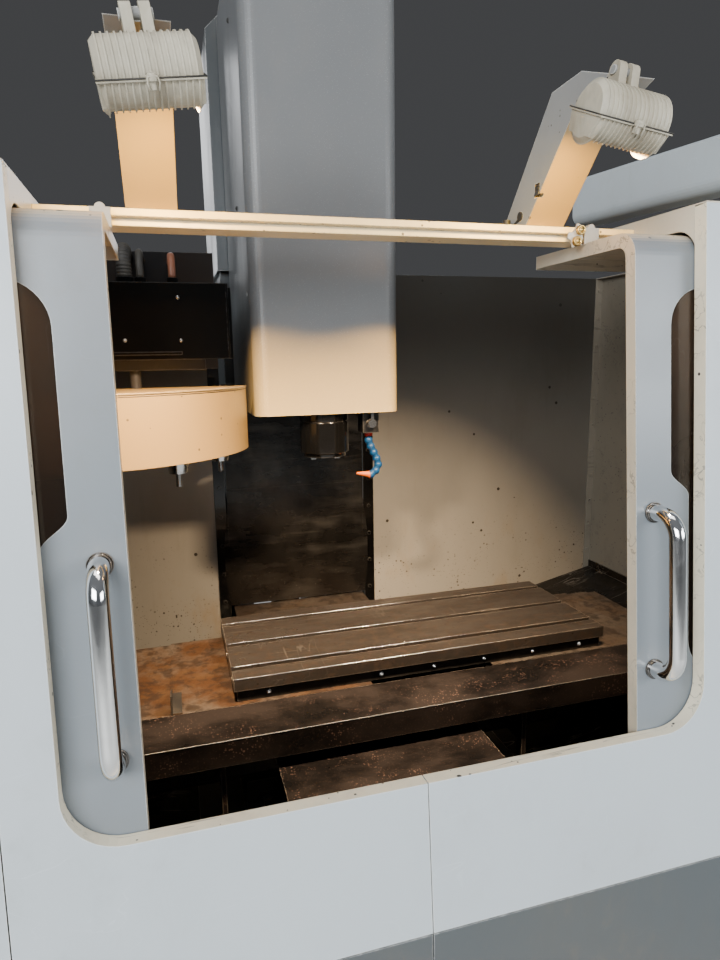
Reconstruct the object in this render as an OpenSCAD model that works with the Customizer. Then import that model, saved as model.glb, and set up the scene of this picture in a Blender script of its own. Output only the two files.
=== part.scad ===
// Vertical CNC machining center with an open-topped enclosure, a two-door front,
// a carousel tool changer on the left of the head and a swinging control pendant.
// Millimetres. X runs to the right, Y away from the operator, Z up from the floor.

/* [Enclosure] */
// Half of the width of the door opening
opening_half = 587; // [570:1:600]
// Distance of the seam between front and side panels from the middle
seam_x = 670; // [660:1:690]
// Half of the outer width of the enclosure
body_half = 1165; // [1150:1:1200]
// Height of the sill of the door opening
sill_z = 781; // [770:1:790]
// Height of the seam above the kick panels
kick_z = 500; // [480:1:510]
// Height of the lower edge of the kick panels
kick_low = 60; // [40:5:80]
// Height of the top of the side and front panels
wall_top = 1785; // [1780:1:1800]
// Angle by which the front leans back
lean = 5.4; // [4.8:0.1:6]
// Thickness of the enclosure sheet
sheet = 3; // [2:0.5:4]
// Depth of the flange round the door opening
flange = 29; // [20:1:29]
// Radius of the lower corners of the door opening
corner_r = 90; // [60:5:110]
// Width of a seam between two panels
seam = 2; // [1:0.5:3]
// Step left where a sheet is folded round a corner
fold_step = 1; // [0.5:0.1:1.5]
// Front of the back walls
back_y = 1190; // [1185:1:1200]
// Depth of the roofs over the door pockets, from the front plane
pocket_rear = 520; // [490:5:560]
// Radius of the corner bolts and panel bolts
bolt_r = 6; // [4:1:8]

/* [Doors] */
// Thickness of the door sheet
door_sheet = 3; // [2:0.5:3]
// Gap between the opening flange and the face of a door
door_gap = 3; // [2:0.5:5]
// Height of the lower edge of the doors
door_low = 752; // [745:1:765]
// Height of the top of the doors
door_top = 1738; // [1730:1:1739]
// Outer radius of the bend at the top of the doors
door_bend = 50; // [40:5:60]
// Rear edge of the top of the doors, from the front plane
door_rear = 464; // [440:1:480]
// Width of one door
door_w = 626; // [600:1:630]
// Depth of the flange along the leading edge of a door
door_flange = 27; // [20:1:35]
// Depth of the flange at the rear edge of the door top
rear_flange = 29; // [20:1:35]
// Place of the leading edge of the left door, as drawn
left_open = 467; // [420:1:520]
// Place of the leading edge of the right door, as drawn
right_open = 456; // [420:1:520]
// Margin between the leading edge and the window
window_margin = 80; // [70:1:90]
// Width of the window
window_w = 450; // [400:5:460]
// Height of the top of the window
window_top = 1637; // [1600:1:1650]
// Height of the bottom of the window
window_low = 880; // [850:5:900]
// Corner radius of the window
window_r = 70; // [50:5:90]
// Step of the window outline round the handle
window_step = 42; // [30:1:50]
// Height of the middle of that step
step_z = 1265; // [1255:1:1275]
// Height of that step
step_h = 50; // [40:1:60]
// Overlap of the window pane behind the door sheet
pane_lap = 12; // [8:1:15]
// Thickness of the window pane
pane_t = 6; // [4:1:8]
// Radius of the handle tube
handle_r = 16; // [12:1:18]
// Distance between the feet of a handle
handle_len = 312; // [290:1:330]
// Height of the lower foot of a handle
handle_z = 902; // [890:1:910]
// Distance of the handle from the leading edge of its door
handle_in = 40; // [36:1:48]
// Distance between the door face and the middle of the tube
handle_out = 62; // [50:1:70]
// Radius of the handle bends
handle_bend = 44; // [36:1:50]

/* [Header] */
// Front face of the header rail
header_y = 292; // [285:1:300]
// Depth of the header rail
header_d = 64; // [50:1:80]
// Gap between the header rail and the door tops
header_gap = 4; // [3:1:4]
// Height of the header rail
header_h = 30; // [26:1:34]
// Wall of the header rail
header_wall = 4; // [3:1:6]
// Width of a door hanger plate
hanger_w = 34; // [28:1:40]
// Radius of the hanger rollers
hanger_r = 9; // [7:1:10]

/* [Work lights] */
// Width of a lamp arm
arm_w = 86; // [76:1:92]
// Middle of the left lamp arm, left of the machine's middle
left_arm = 397; // [392:1:402]
// Middle of the right lamp arm, right of the machine's middle
right_arm = 371; // [366:1:376]
// Length of a lamp housing
lamp_len = 131; // [125:1:140]
// Radius of the lamp's back
lamp_r = 45; // [42:1:48]
// Rounding of the ends of the lamp's back
lamp_round = 7; // [4:1:9]
// Height of the skirt below the lamp's parting line
lamp_skirt = 33; // [28:1:38]
// Draft of the skirt towards its mouth
lamp_draft = 14; // [8:1:16]
// Number of ribs on a lamp
lamp_ribs = 15; // [9:1:17]
// Height of a lamp rib
lamp_rib = 2; // [1:0.5:3]
// Forward tilt of the lamps
lamp_aim = 26; // [10:1:40]
// Width of each of a lamp's two lugs
lug_w = 14; // [10:1:16]
// Gap between the two lugs
lug_gap = 10; // [8:1:14]
// Radius of a lug round its pin
lug_r = 14; // [12:1:16]

/* [Base and column] */
// Half of the width of the base casting
base_half = 385; // [370:1:400]
// Front of the base casting
base_front = 62; // [60:1:80]
// Rear of the base casting
base_rear = 1780; // [1700:10:1850]
// Height of the underside of the base casting
base_low = 110; // [90:5:130]
// Height of the way pads on the base casting
way_z = 560; // [550:1:565]
// Radius of the levelling feet
foot_r = 60; // [45:1:70]
// Half of the width of the column casting
column_half = 212; // [205:1:215]
// Front of the column casting
column_y = 1240; // [1238:1:1250]
// Depth of the column casting
column_d = 400; // [360:10:440]
// Height of the top of the column casting
column_top = 2210; // [2200:5:2260]
// Half of the width of the column cover
cover_half = 221; // [218:1:225]
// Height of the shoulders of the column cover
cover_top = 2466; // [2450:1:2480]
// Chamfer on the column cover
cover_bevel = 80; // [50:5:100]

/* [Axes] */
// Width of a guide rail
rail_w = 24; // [20:1:28]
// Height of a guide rail
rail_h = 30; // [26:1:32]
// Running clearance between a rail and its carriage
rail_gap = 0.3; // [0.2:0.1:0.5]
// Radius of the ballscrews
screw_r = 20; // [16:1:22]
// Running clearance of nuts and bearings round their shafts
run_gap = 0.05; // [0.03:0.01:0.08]
// Distance of the Y rails from the middle
y_rail_x = 240; // [230:1:250]
// Distance of the X rails from the middle of the table
x_rail_y = 120; // [110:1:125]
// Distance of the Z rails from the middle
z_rail_x = 138; // [134:1:142]
// Side of an axis motor
motor_side = 110; // [90:5:120]
// Length of an axis motor
motor_len = 190; // [150:5:210]

/* [Table] */
// Length of the table
table_w = 914; // [900:1:930]
// Depth of the table
table_d = 356; // [350:1:360]
// Height of the table top
table_z = 845; // [840:1:850]
// Thickness of the table slab
table_t = 54; // [50:1:55]
// Height of the ground band along the edge of the table top
table_band = 28; // [22:1:34]
// Depth of the recess under that band
band_step = 7; // [4:1:10]
// Place of the middle of the table along X, as drawn
table_x = 158; // [150:1:166]
// Front edge of the table, as drawn
table_y = 358; // [356:1:360]
// Width of the neck of a T-slot
slot_neck = 16; // [14:1:18]
// Width of the head of a T-slot
slot_head = 28; // [24:1:30]
// Depth of the neck of a T-slot
slot_deep = 15; // [12:1:18]
// Height of the head of a T-slot
slot_tall = 12; // [10:1:14]
// Distance between the T-slots
slot_pitch = 125; // [115:1:130]
// Number of T-slots
slot_count = 3; // [3:2:3]
// Length of the carriage block under the table
keel_len = 300; // [280:5:320]
// Depth of the carriage block under the table
keel_d = 290; // [280:1:300]

/* [Saddle and way covers] */
// Half of the length of the saddle covers and the apron
tray_half = 843; // [840:1:850]
// Height of the top of the covers beside the table
tray_z = 790; // [789:0.5:790]
// Thickness of the cover sheets
tray_sheet = 2; // [1.5:0.5:2]
// Gap between two sliding cover sheets
slide_gap = 1; // [0.5:0.5:1]
// Height of the edges of the sliding covers
tray_edge = 30; // [20:1:35]
// Front edge of the apron, as drawn
apron_front = 237; // [230:1:245]
// Drop of the apron from back to front
apron_drop = 8; // [4:1:12]
// Height of the front edge of the apron
apron_lip = 56; // [40:1:60]
// Length of the covers fixed to the saddle
fixed_len = 312; // [300:1:316]
// Length of the covers fixed to the table
inner_len = 437; // [430:1:445]
// Length of the middle covers
mid_len = 365; // [360:1:372]
// Half of the length of the saddle casting
saddle_half = 620; // [600:5:640]
// Height of the top of the saddle casting
saddle_z = 700; // [698:1:704]
// Half of the width of the covers before and behind the saddle
y_cover_half = 226; // [215:1:232]
// Length of the cover behind the saddle
rear_cover = 450; // [445:1:460]
// Half of the opening in the column for that cover
arch_half = 240; // [238:1:250]

/* [Head and spindle] */
// Half of the width of the head cover
head_half = 188; // [185:1:190]
// Front of the head cover
head_y = 664; // [660:1:668]
// Height of the underside of the head cover, as drawn
head_z = 1374; // [1368:1:1380]
// Height of the top of the head cover, as drawn
head_top = 2480; // [2440:5:2480]
// Radius of the upright corners of the head cover
head_r = 35; // [25:1:45]
// Place of the spindle axis along Y
spindle_y = 739; // [736:1:742]
// Height of the spindle nose, as drawn
nose_z = 1257; // [1250:1:1262]
// Radius of the spindle housing
housing_r = 64; // [60:1:66]
// Radius of the spindle
spindle_r = 42; // [38:1:46]
// Radius of the spindle taper at the nose
taper_r = 22.225; // [20:0.005:24]
// Depth of the spindle taper
taper_deep = 65; // [60:1:66]
// Radius of the drawbar bore
drawbar_r = 12.5; // [10:0.5:13]
// Length of the cover hanging from the head
head_plate = 300; // [290:1:310]
// Half of the width of the way opening behind the head
way_half = 236; // [234:1:240]
// Spacing of the bolts along the way cover
bolt_pitch = 98; // [90:1:105]

/* [Tool changer] */
// Place of the carousel axis left of the spindle
carousel_x = 570; // [565:1:575]
// Radius of the carousel cover
cover_r = 369; // [366:1:372]
// Height of the lower edge of the carousel cover
cover_low = 1303; // [1295:1:1310]
// Height of the carousel cover
cover_h = 150; // [140:1:156]
// Radius of the circle of tool pockets
pocket_circle = 300; // [296:1:302]
// Number of tool pockets
pockets = 20; // [16:2:20]
// Number of tools in the carousel
tools = 6; // [3:1:8]
// Right edge of the changer motor box
box_right = 236; // [232:1:240]
// Width of the changer motor box
box_w = 404; // [396:1:410]
// Front of the changer motor box
box_y = 562; // [556:1:566]
// Depth of the changer motor box
box_d = 92; // [80:1:94]
// Height of the underside of the changer motor box
box_z = 1517; // [1510:1:1525]
// Height of the changer motor box
box_h = 163; // [150:1:170]
// Width of the lips of the changer motor box
box_lip = 14; // [8:1:18]

/* [Pendant] */
// Place of the swing post along X
post_x = 1045; // [1040:1:1060]
// Place of the swing post along Y
post_y = 350; // [340:1:360]
// Height of the underside of the pendant arm
beam_z = 1912; // [1905:1:1920]
// Height of the pendant arm
beam_h = 133; // [120:1:140]
// Width of the pendant arm
beam_w = 110; // [90:1:120]
// Angle of the pendant arm, as drawn
beam_angle = 12.5; // [8:0.5:15]
// Length of the arm in front of the post
beam_front = 570; // [565:5:600]
// Length of the arm behind the post
beam_back = 612; // [580:1:620]
// Width of the pendant
pendant_w = 360; // [330:5:370]
// Depth of the pendant
pendant_d = 110; // [90:5:120]
// Height of the pendant
pendant_h = 520; // [480:5:560]

/* [Rear] */
// Width of the electrical cabinet
cabinet_w = 760; // [700:10:800]
// Depth of the electrical cabinet
cabinet_d = 300; // [260:5:320]
// Height of the underside of the electrical cabinet
cabinet_z = 560; // [500:10:600]
// Height of the electrical cabinet
cabinet_h = 1200; // [1000:10:1220]
// Width of the coolant tank
tank_w = 620; // [500:10:640]
// Height of the coolant tank
tank_h = 330; // [280:5:360]
// Radius of the air inlet bore
air_r = 6; // [5:0.5:7]
// Radius of the power entry bore
power_r = 16; // [14:0.5:18]

/* [Hidden] */
$fn = 64;

// Place of the frame's origin in the machine's own axes, under the middle of the whole machine
frame_x = 89;
frame_y = 857;

bend_steps = 10;
door_back = flange + door_gap;
table_mid_y = table_y + table_d / 2;
slab_z = table_z - table_t;
bend_at = [lean_y(door_top - door_bend, door_back + door_bend / cos(lean)), door_top - door_bend];
door_face = door_back * cos(lean);
handle_turn = handle_out - handle_bend;
header_z = door_top + header_gap;
header_end = [header_y, header_y + header_d];
keel_z = saddle_z + rail_h - 16;
foot_z = way_z + rail_h - 16;
groove = 16 + rail_gap;
x_screw_z = saddle_z - 26;
y_screw_z = way_z - 16;
z_screw_y = column_y + 44;
carriage_y = column_y - rail_h + 16;
bracket_y = 812;
fork_z = cover_low + 8;
box_left = box_right + box_w;

// Panels, walls and chip pan
kick_fold = 18;
band_gap = 6;
way_lap = 4;
wall_low = 565;
wall_fold = 28;
bolt_t = 4;
pan_front = 20;
pan_z = 517;
pan_top = 687;
pan_edge = 30;
y_fixed = [66, 300];
y_fixed_z = 695;
y_mid = [50, 300];

// Base, feet and column
bed_z = 520;
pad_inner = 195;
pad_outer = 285;
channel_half = 110;
channel_z = 430;
feet_y = [140, 900, 1640];
foot_x = 315;
screw_front = 120;
screw_rear = 1330;
bearing_t = 30;
column_foot = 335;
rib_bays = 8;
rib_t = 20;
rib_step = 208;
pocket_z = 400;
foot_bolt_r = 12;
foot_pad = 20;
foot_nut_r = 22;
foot_nut_h = 16;
arch_z = 730;
channel_d = 90;
cover_strip = 174;
y_motor_y = 1400;

// Way covers and rails
way_t = 4;
z_fixed_low = 697;
z_fixed_top = 1010;
z_mid_low = 888;
z_mid_h = 330;
z_rail_low = 1040;
z_rail_top = 2150;
x_rail_half = 560;
saddle_y = [330, 740];
wing_z = 620;
nut_half = 45;
nut_len = 80;
nut_drop = 30;
trough_half = 60;
trough_z = 640;
tray_y = [353, 717];
apron_hem = 12;
apron_cover = 60;
post_at = 331;
post_t = 10;
post_front = 252;
post_w = 25;
post_low = 600;
mid_left = -655.5;
mid_right = 813;

// Head
head_wall = 2;
nose_h = 200;
plate_h = 460;
motor_y = 960;
head_rear = 1176;
casting_z = 1440;
nose_half = 115;
nose_y = 672;
plate_y = 1180;
plate_half = 168;
shaft_r = 30;
tap_x = 117;
tap_y = 720;
tap_z = 1318;
hose_r = 11;
hose_path = [[0, 0], [6, -17], [14, -34], [22, -51], [26, -68], [19, -84], [5, -94]];

// Tool changer
bracket_left = 620;
bracket_right = 279;
bracket_z = 1600;
bracket_top = 1780;
bracket_wall = 8;
shuttle_rail = 15;
shuttle_rails = [1640, 1730];
shuttle_y = 775;
shuttle_top = 1775;
shelf_z = box_z - 24;
hub_r = 62;
hub_z = 1462;
carousel_shaft = 34;
cover_cut = 652;
fork_t = 10;
fork_w = 66;
groove_r = 26.5;
flange_r = 31.5;
pocket_turn = 3;
tool_turn = pocket_turn - 18;
stud_r = 7;
hose_bend = 40;
changer_hoses = [[-467, 15, 38], [-434, 8, 34], [-366, 8, 28]];

// Door hangers and lamps
track_y = 278;
track_z = 1755.3;
track_t = 2.4;
arm_side = [[292, 1772], [374, 1772], [378, 1790], [212, 1989], [120, 1991], [41, 1957], [148, 1923]];
grommet_at = [315, 1793];
left_lamp_x = -left_arm - 1;
right_lamp_x = right_arm - 32;
lamp_pivot = [20, 1951];
left_lamp_turn = [0, -8.3, 1.8];
right_lamp_turn = [0, 6.7, 2];
lamp_pin = 7;
lamp_back = -8;
lug_seat = 44;
lamp_hang = -73;
switch_y = 254;
switch_z = 1829;

// Pendant and rear
post_pin = 30;
swivel_r = 18;
beam_r = 30;
pendant_gap = 22;
pendant_face = -pendant_d / 2;
screen_x = [-144, 104];
screen_z = [-258, -40];
key_w = 20;
key_h = 26;
key_pitch = [25, 36];
button_pin = 7;
estop_at = [145, -70];
start_at = [145, -150];
jog_at = [140, -300];
cabinet_wall = 3;
hinge_r = 8;
hinge_pin = 4;
knuckle_h = 40;
knuckles = [cabinet_z + 120, cabinet_z + cabinet_h - 200];
tank_x = 430;
tank_y = [1230, 1800];
tank_feet = 60;
tank_sheet = 3;
tank_mouth = 240;
pump_r = 58;
pump_h = 187;
pipe_r = 14;
air_x = 800;
air_z = 1100;

// Depth of the leaning front plane at a height, moved back by an amount
function lean_y(z, back) = back + tan(lean) * (z - sill_z);
// Distance up the leaning front from the sill to a height
function slope(z) = (z - sill_z) / cos(lean);
function arc(c, r, a0, a1, n = bend_steps) =
    [for (i = [0:n]) c + r * [cos(a0 + (a1 - a0) * i / n), sin(a0 + (a1 - a0) * i / n)]];
function backwards(p) = [for (i = [len(p) - 1:-1:0]) p[i]];
// Section of a door from its lower edge over the bend to its rear edge, a depth inside its face
function door_path(d) = concat([[lean_y(door_low, door_back + d / cos(lean)), door_low]],
    arc(bend_at, door_bend - d, 180 - lean, 90), [[door_rear, door_top - d]]);

module machine() translate([-frame_x, -frame_y, 0]) children();
module span(x, y, z) translate([x[0], y[0], z[0]]) cube([x[1] - x[0], y[1] - y[0], z[1] - z[0]]);
module both() {
    children();
    mirror([1, 0, 0]) children();
}
module rod_x(r, x, at) translate([x[0], at[0], at[1]]) rotate([0, 90, 0]) cylinder(r = r, h = x[1] - x[0]);
module rod_y(r, y, at) translate([at[0], y[1], at[1]]) rotate([90, 0, 0]) cylinder(r = r, h = y[1] - y[0]);
module rod_z(r, z, at) translate([at[0], at[1], z[0]]) cylinder(r = r, h = z[1] - z[0]);
// An outline in Y and Z drawn out along X
module along_x(x) translate([x[0], 0, 0]) rotate([90, 0, 90]) linear_extrude(x[1] - x[0]) children();
// An outline in X and Z drawn out along Y
module along_y(y) translate([0, y[1], 0]) rotate([90, 0, 0]) linear_extrude(y[1] - y[0]) children();
module along_z(z) translate([0, 0, z[0]]) linear_extrude(z[1] - z[0]) children();
// The frame of the leaning front: Z runs up the slope from the sill, Y into the machine
module leaning() translate([0, 0, sill_z]) rotate([-lean, 0, 0]) children();

// Half of the front, with the flange round the opening folded back from its edge
module front_panel() {
    top = slope(wall_top);
    low = slope(kick_z + seam / 2);
    right = seam_x - seam / 2;
    inner = arc([opening_half - corner_r, corner_r], corner_r, 0, -90);
    outer = arc([opening_half - corner_r, corner_r], corner_r + sheet, 0, -90);
    leaning() {
        along_y([0, sheet]) polygon(concat([[opening_half, top]], inner,
            [[seam / 2, 0], [seam / 2, low], [right, low], [right, top]]));
        along_y([sheet, flange]) polygon(concat([[opening_half, top]], inner,
            [[seam / 2, 0], [seam / 2, -sheet]], backwards(outer), [[opening_half + sheet, top]]));
        span([seam / 2, seam / 2 + sheet], [sheet, flange], [low, -sheet]);
        span([right - sheet, right], [sheet, flange], [low, top]);
        span([seam / 2, right], [sheet, flange], [low, low + sheet]);
    }
}

module front_panel_right() color("#c3ccd2") machine() front_panel();

module front_panel_left() color("#c3ccd2") machine() mirror([1, 0, 0]) front_panel();

// Darker panels below the front, meeting at the middle
module kick_panels() color("#8d969c") machine() both() {
    face = lean_y(kick_z, 0);
    outer = body_half - sheet;
    span([seam / 2, outer], [face, face + sheet], [kick_low, kick_z - seam / 2]);
    span([seam / 2, outer], [face + sheet, face + kick_fold], [kick_low, kick_low + sheet]);
    span([seam / 2, outer], [face + sheet, face + kick_fold],
        [kick_z - seam / 2 - sheet, kick_z - seam / 2]);
}

// Outer strip of the front and the side wall behind it
module side_panels() color("#c3ccd2") machine() both() {
    top = slope(wall_top);
    low = slope(kick_z + seam / 2);
    left = seam_x + seam / 2;
    edge = body_half - fold_step;
    leaning() {
        along_y([0, sheet]) polygon([[left, low], [edge, low], [edge, top], [left, top]]);
        span([left, left + sheet], [sheet, flange], [low, top]);
        span([left, body_half - sheet], [sheet, flange], [low, low + sheet]);
    }
    along_x([body_half - sheet, body_half]) polygon([[lean_y(kick_z, 0), kick_low],
        [lean_y(kick_z, 0), kick_z],
        [lean_y(kick_z, fold_step), kick_z + seam], [lean_y(wall_top, fold_step), wall_top],
            [back_y, wall_top], [back_y, kick_low]]);
    span([body_half - flange, body_half - sheet], [back_y - sheet, back_y], [kick_low, wall_top]);
    for (z = [wall_low + bolt_pitch:bolt_pitch:wall_top - sheet])
        rod_y(bolt_r, [back_y - sheet - bolt_t, back_y - sheet], [body_half - flange / 2, z]);
    span([body_half - flange, body_half - sheet], [pocket_rear, back_y - sheet],
        [wall_top - sheet, wall_top]);
}

// Roof over each door pocket, with the slotted band that the door slides through
module pocket_walls() color("#e4d9c4") machine() both() {
    band_low = door_top - door_bend - 20;
    span([opening_half, body_half], [lean_y(wall_top, 0), pocket_rear], [wall_top, wall_top + sheet]);
    span([opening_half, body_half - sheet], [pocket_rear - sheet, pocket_rear],
        [wall_top - flange, wall_top]);
    difference() {
        along_x([opening_half, opening_half + sheet]) polygon([
            [lean_y(band_low, flange / cos(lean)), band_low],
            [lean_y(wall_top, flange / cos(lean)), wall_top],
            [pocket_rear - sheet, wall_top], [pocket_rear - sheet, band_low]]);
        along_x([opening_half - sheet, opening_half + 2 * sheet]) polygon(concat(
            [[lean_y(door_low, door_back - band_gap), door_low]],
            arc(bend_at, door_bend + band_gap, 180 - lean, 90),
            [[pocket_rear, door_top + band_gap], [pocket_rear, door_low]]));
    }
    // Continuation of the door track inside the pocket
    span([opening_half + sheet, body_half - sheet], [header_y, header_y + sheet], [track_z, wall_top]);
    span([opening_half + sheet, body_half - sheet], [track_y, header_y], [track_z, track_z + track_t]);
}

module back_walls() color("#ddd8cc") machine() both() {
    inner = way_half + way_lap;
    outer = body_half;
    span([inner, outer], [back_y, back_y + sheet], [wall_low, wall_top]);
    span([inner, outer], [back_y + sheet, back_y + wall_fold], [wall_top - sheet, wall_top]);
    span([inner, outer], [back_y + sheet, back_y + wall_fold], [wall_low, wall_low + sheet]);
}

// Trough that carries chips and coolant inwards to the base
module chip_pan() color("#5c605f") machine() {
    wall = body_half - sheet;
    both() {
        along_y([pan_front, back_y - sheet]) polygon([[base_half, pan_z], [wall, pan_top],
            [wall, pan_top + pan_edge],
            [wall - sheet, pan_top + pan_edge], [wall - sheet, pan_top + sheet],
                [base_half, pan_z + sheet]]);
    }
    both() along_y([pan_front, pan_front + sheet]) polygon([[base_half, pan_z + sheet],
        [wall - sheet, pan_top + sheet], [wall - sheet, pan_top + pan_edge],
            [base_half, pan_z + pan_edge]]);
    // Gussets that tie the pan to the front panels
    both() gusset(300, pan_z + sheet);
    both() gusset(800, pan_z + sheet + 95);
    span([-base_half, base_half], [pan_front, base_front], [pan_z, pan_z + sheet]);
    span([-base_half, base_half], [pan_front, pan_front + sheet], [pan_z + sheet, pan_z + pan_edge]);
    span([-y_cover_half, y_cover_half], [y_fixed[0], y_fixed[1]], [y_fixed_z - sheet, y_fixed_z]);
    span([-y_cover_half, y_cover_half], [y_fixed[0], y_fixed[0] + sheet], [way_z, y_fixed_z - sheet]);
}

module gusset(x, z) along_x([x, x + 4]) polygon([[lean_y(z, sheet / cos(lean)), z], [pan_front, z],
    [pan_front, z + 26], [lean_y(z + 26, sheet / cos(lean)), z + 26]]);

module base_casting() color("#6f7478") machine() difference() {
    union() {
        ribbed_base();
        // Bosses for the levelling feet, which also stiffen the pockets
        both() for (y = feet_y) rod_z(foot_r - 4, [base_low, pocket_z + 1], [foot_x, y]);
    }
    both() for (y = feet_y) rod_z(foot_bolt_r + rail_gap, [base_low - 1, base_low + 100], [foot_x, y]);
}

module ribbed_base() difference() {
    union() {
        along_y([base_front, base_rear]) polygon([[-base_half, base_low], [base_half, base_low],
            [base_half, bed_z], [pad_outer, bed_z], [pad_outer, way_z], [pad_inner, way_z],
                [pad_inner, bed_z],
            [channel_half, bed_z], [channel_half, channel_z], [-channel_half, channel_z],
                [-channel_half, bed_z],
            [-pad_inner, bed_z], [-pad_inner, way_z], [-pad_outer, way_z], [-pad_outer, bed_z],
            [-base_half, bed_z]]);
        span([-channel_half, channel_half], [screw_front, screw_front + bearing_t], [channel_z, way_z]);
        span([-channel_half, channel_half], [screw_rear, screw_rear + bearing_t], [channel_z, way_z]);
        both() span([pad_inner, column_foot], [column_y - 30, base_rear], [bed_z, way_z]);
    }
    // Pockets between the ribs of the casting
    both() for (n = [0:rib_bays - 1])
        translate([0, base_front + rib_t + n * rib_step, 0])
            span([channel_half + rib_t, base_half - rib_t], [0, rib_step - rib_t],
                [base_low - 1, pocket_z]);
    both() for (n = [0:rib_bays - 1])
        translate([0, base_front + rib_t + n * rib_step, 0])
            span([base_half - rib_t - 1, base_half + 1], [rib_t, rib_step - 2 * rib_t],
                [base_low + 80, pocket_z - 40]);
    for (y = [screw_front, screw_rear])
        rod_y(screw_r + run_gap, [y - 1, y + bearing_t + 1], [0, y_screw_z]);
}

module levelling_feet() color("#3d4042") machine() both() for (y = feet_y) {
    rod_z(foot_r, [0, foot_pad], [foot_x, y]);
    rod_z(foot_r - 12, [foot_pad, foot_pad + 10], [foot_x, y]);
    rod_z(foot_bolt_r, [foot_pad + 10, base_low + 60], [foot_x, y]);
    rod_z(foot_nut_r, [base_low - foot_nut_h, base_low], [foot_x, y], $fn = 6);
}

module column_casting() color("#7d8489") machine() difference() {
    union() {
        along_y([column_y, column_y + column_d]) polygon([
            [-column_foot, way_z], [-column_foot, way_z + 40], [-column_foot + 30, way_z + 320],
            [-column_half, way_z + 560], [-column_half, column_top], [column_half, column_top],
            [column_half, way_z + 560], [column_foot - 30, way_z + 320], [column_foot, way_z + 40],
            [column_foot, way_z]]);
    }
    // Arch for the cover that slides out behind the saddle
    span([-arch_half, arch_half], [column_y - 1, column_y + column_d + 1], [way_z - 1, arch_z]);
    // Channel for the Z screw
    span([-channel_half, channel_half], [column_y - 1, column_y + channel_d],
        [z_rail_low, column_top - bearing_t]);
    span([-column_half + rib_t, column_half - rib_t], [column_y + channel_d + rib_t,
        column_y + column_d - rib_t],
        [arch_z + 60, column_top - rib_t]);
    rod_z(screw_r + run_gap, [column_top - bearing_t - 1, column_top + 1], [0, z_screw_y]);
}

// Sheet cover round the top of the column
module column_cover() color("#8f979d") machine() {
    depth = [back_y + 4, column_y + column_d];
    half = cover_half;
    crown = cover_top + cover_bevel;
    outline = [[half, wall_top + seam], [half, cover_top], [half - cover_bevel, crown],
        [-half + cover_bevel, crown], [-half, cover_top], [-half, wall_top + seam]];
    inside = [[half - sheet, wall_top + seam], [half - sheet, cover_top - 1],
        [half - cover_bevel - 1, crown - sheet], [-half + cover_bevel + 1, crown - sheet],
        [-half + sheet, cover_top - 1], [-half + sheet, wall_top + seam]];
    along_y(depth) difference() {
        polygon(outline);
        polygon(inside);
    }
    both() span([cover_strip, half - sheet], [depth[0], depth[0] + sheet],
        [wall_top + seam, cover_top - 1]);
    both() span([column_half, half - sheet], [column_y + 40, column_y + 120],
        [wall_top + seam, wall_top + 60]);
    along_y([depth[0], depth[0] + sheet]) polygon([[half - sheet, cover_top - 40],
        [half - sheet, cover_top - 1], [half - cover_bevel - 1, crown - sheet],
        [-half + cover_bevel + 1, crown - sheet], [-half + sheet, cover_top - 1],
            [-half + sheet, cover_top - 40]]);
}

// Rail that joins the two door pockets, carries the lamp arms and guides the doors
module header_rail() color("#eadfc8") machine() {
    difference() {
        span([-opening_half, opening_half], header_end, [header_z, header_z + header_h]);
        span([-opening_half + header_wall, opening_half - header_wall],
            [header_end[0] + header_wall, header_end[1] - header_wall],
            [header_z + header_wall, header_z + header_h - header_wall]);
    }
    span([-opening_half, opening_half], [track_y, header_y], [track_z, track_z + track_t]);
}

// Bolted strips at the edges of the way opening and the fixed lower cover between them
module z_cover_frame() color("#4d4c49") machine() {
    both() {
        span([way_half, way_half + 36], [back_y - way_t, back_y], [wall_low, wall_top]);
        for (z = [wall_low + bolt_pitch / 2:bolt_pitch:wall_top])
            rod_y(bolt_r, [back_y - way_t - bolt_t, back_y - way_t], [way_half + 18, z]);
    }
    span([-way_half, way_half], [back_y - way_t, back_y - way_t + tray_sheet], [z_fixed_low, z_fixed_top]);
    span([-way_half, way_half], [back_y - way_t + tray_sheet, back_y],
        [z_fixed_top - 20, z_fixed_top - 18]);
}

module rail_section() {
    half = rail_w / 2;
    polygon([[-half, 0], [half, 0], [half, rail_h * 0.35], [half - 3, rail_h * 0.5], [half, rail_h * 0.65],
        [half, rail_h], [-half, rail_h], [-half, rail_h * 0.65], [-half + 3, rail_h * 0.5],
            [-half, rail_h * 0.35]]);
}

module guide_rails() color("silver") machine() both() {
    translate([y_rail_x, 0, way_z]) along_y([base_front + 28, back_y - way_t - 1]) rail_section();
    translate([z_rail_x, column_y, 0]) along_z([z_rail_low, z_rail_top]) rotate(180) rail_section();
}

// Servo motor standing on its flange, with the shaft end down
module motor() {
    difference() {
        translate([-motor_side / 2, -motor_side / 2, 0]) cube([motor_side, motor_side, 12]);
        for (a = [45:90:315]) rotate(a) translate([motor_side * 0.6, 0, -1]) cylinder(r = 5, h = 14);
    }
    translate([0, 0, 12]) cylinder(r = motor_side * 0.52, h = motor_len - 52, $fn = 8);
    translate([0, 0, motor_len - 40]) cylinder(r = motor_side * 0.42, h = 40);
    translate([motor_side * 0.3, -14, motor_len - 36]) cube([motor_side * 0.28, 28, 26]);
}

module axis_motors() color("#33373b") machine() {
    translate([0, z_screw_y, column_top]) motor();
    translate([0, y_motor_y, y_screw_z]) rotate([-90, 0, 0]) motor();
    difference() {
        span([-channel_half, channel_half], [y_motor_y - bearing_t, y_motor_y], [channel_z, way_z]);
        rod_y(screw_r + run_gap, [y_motor_y - bearing_t - 1, y_motor_y + 1], [0, y_screw_z]);
    }
}

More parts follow.
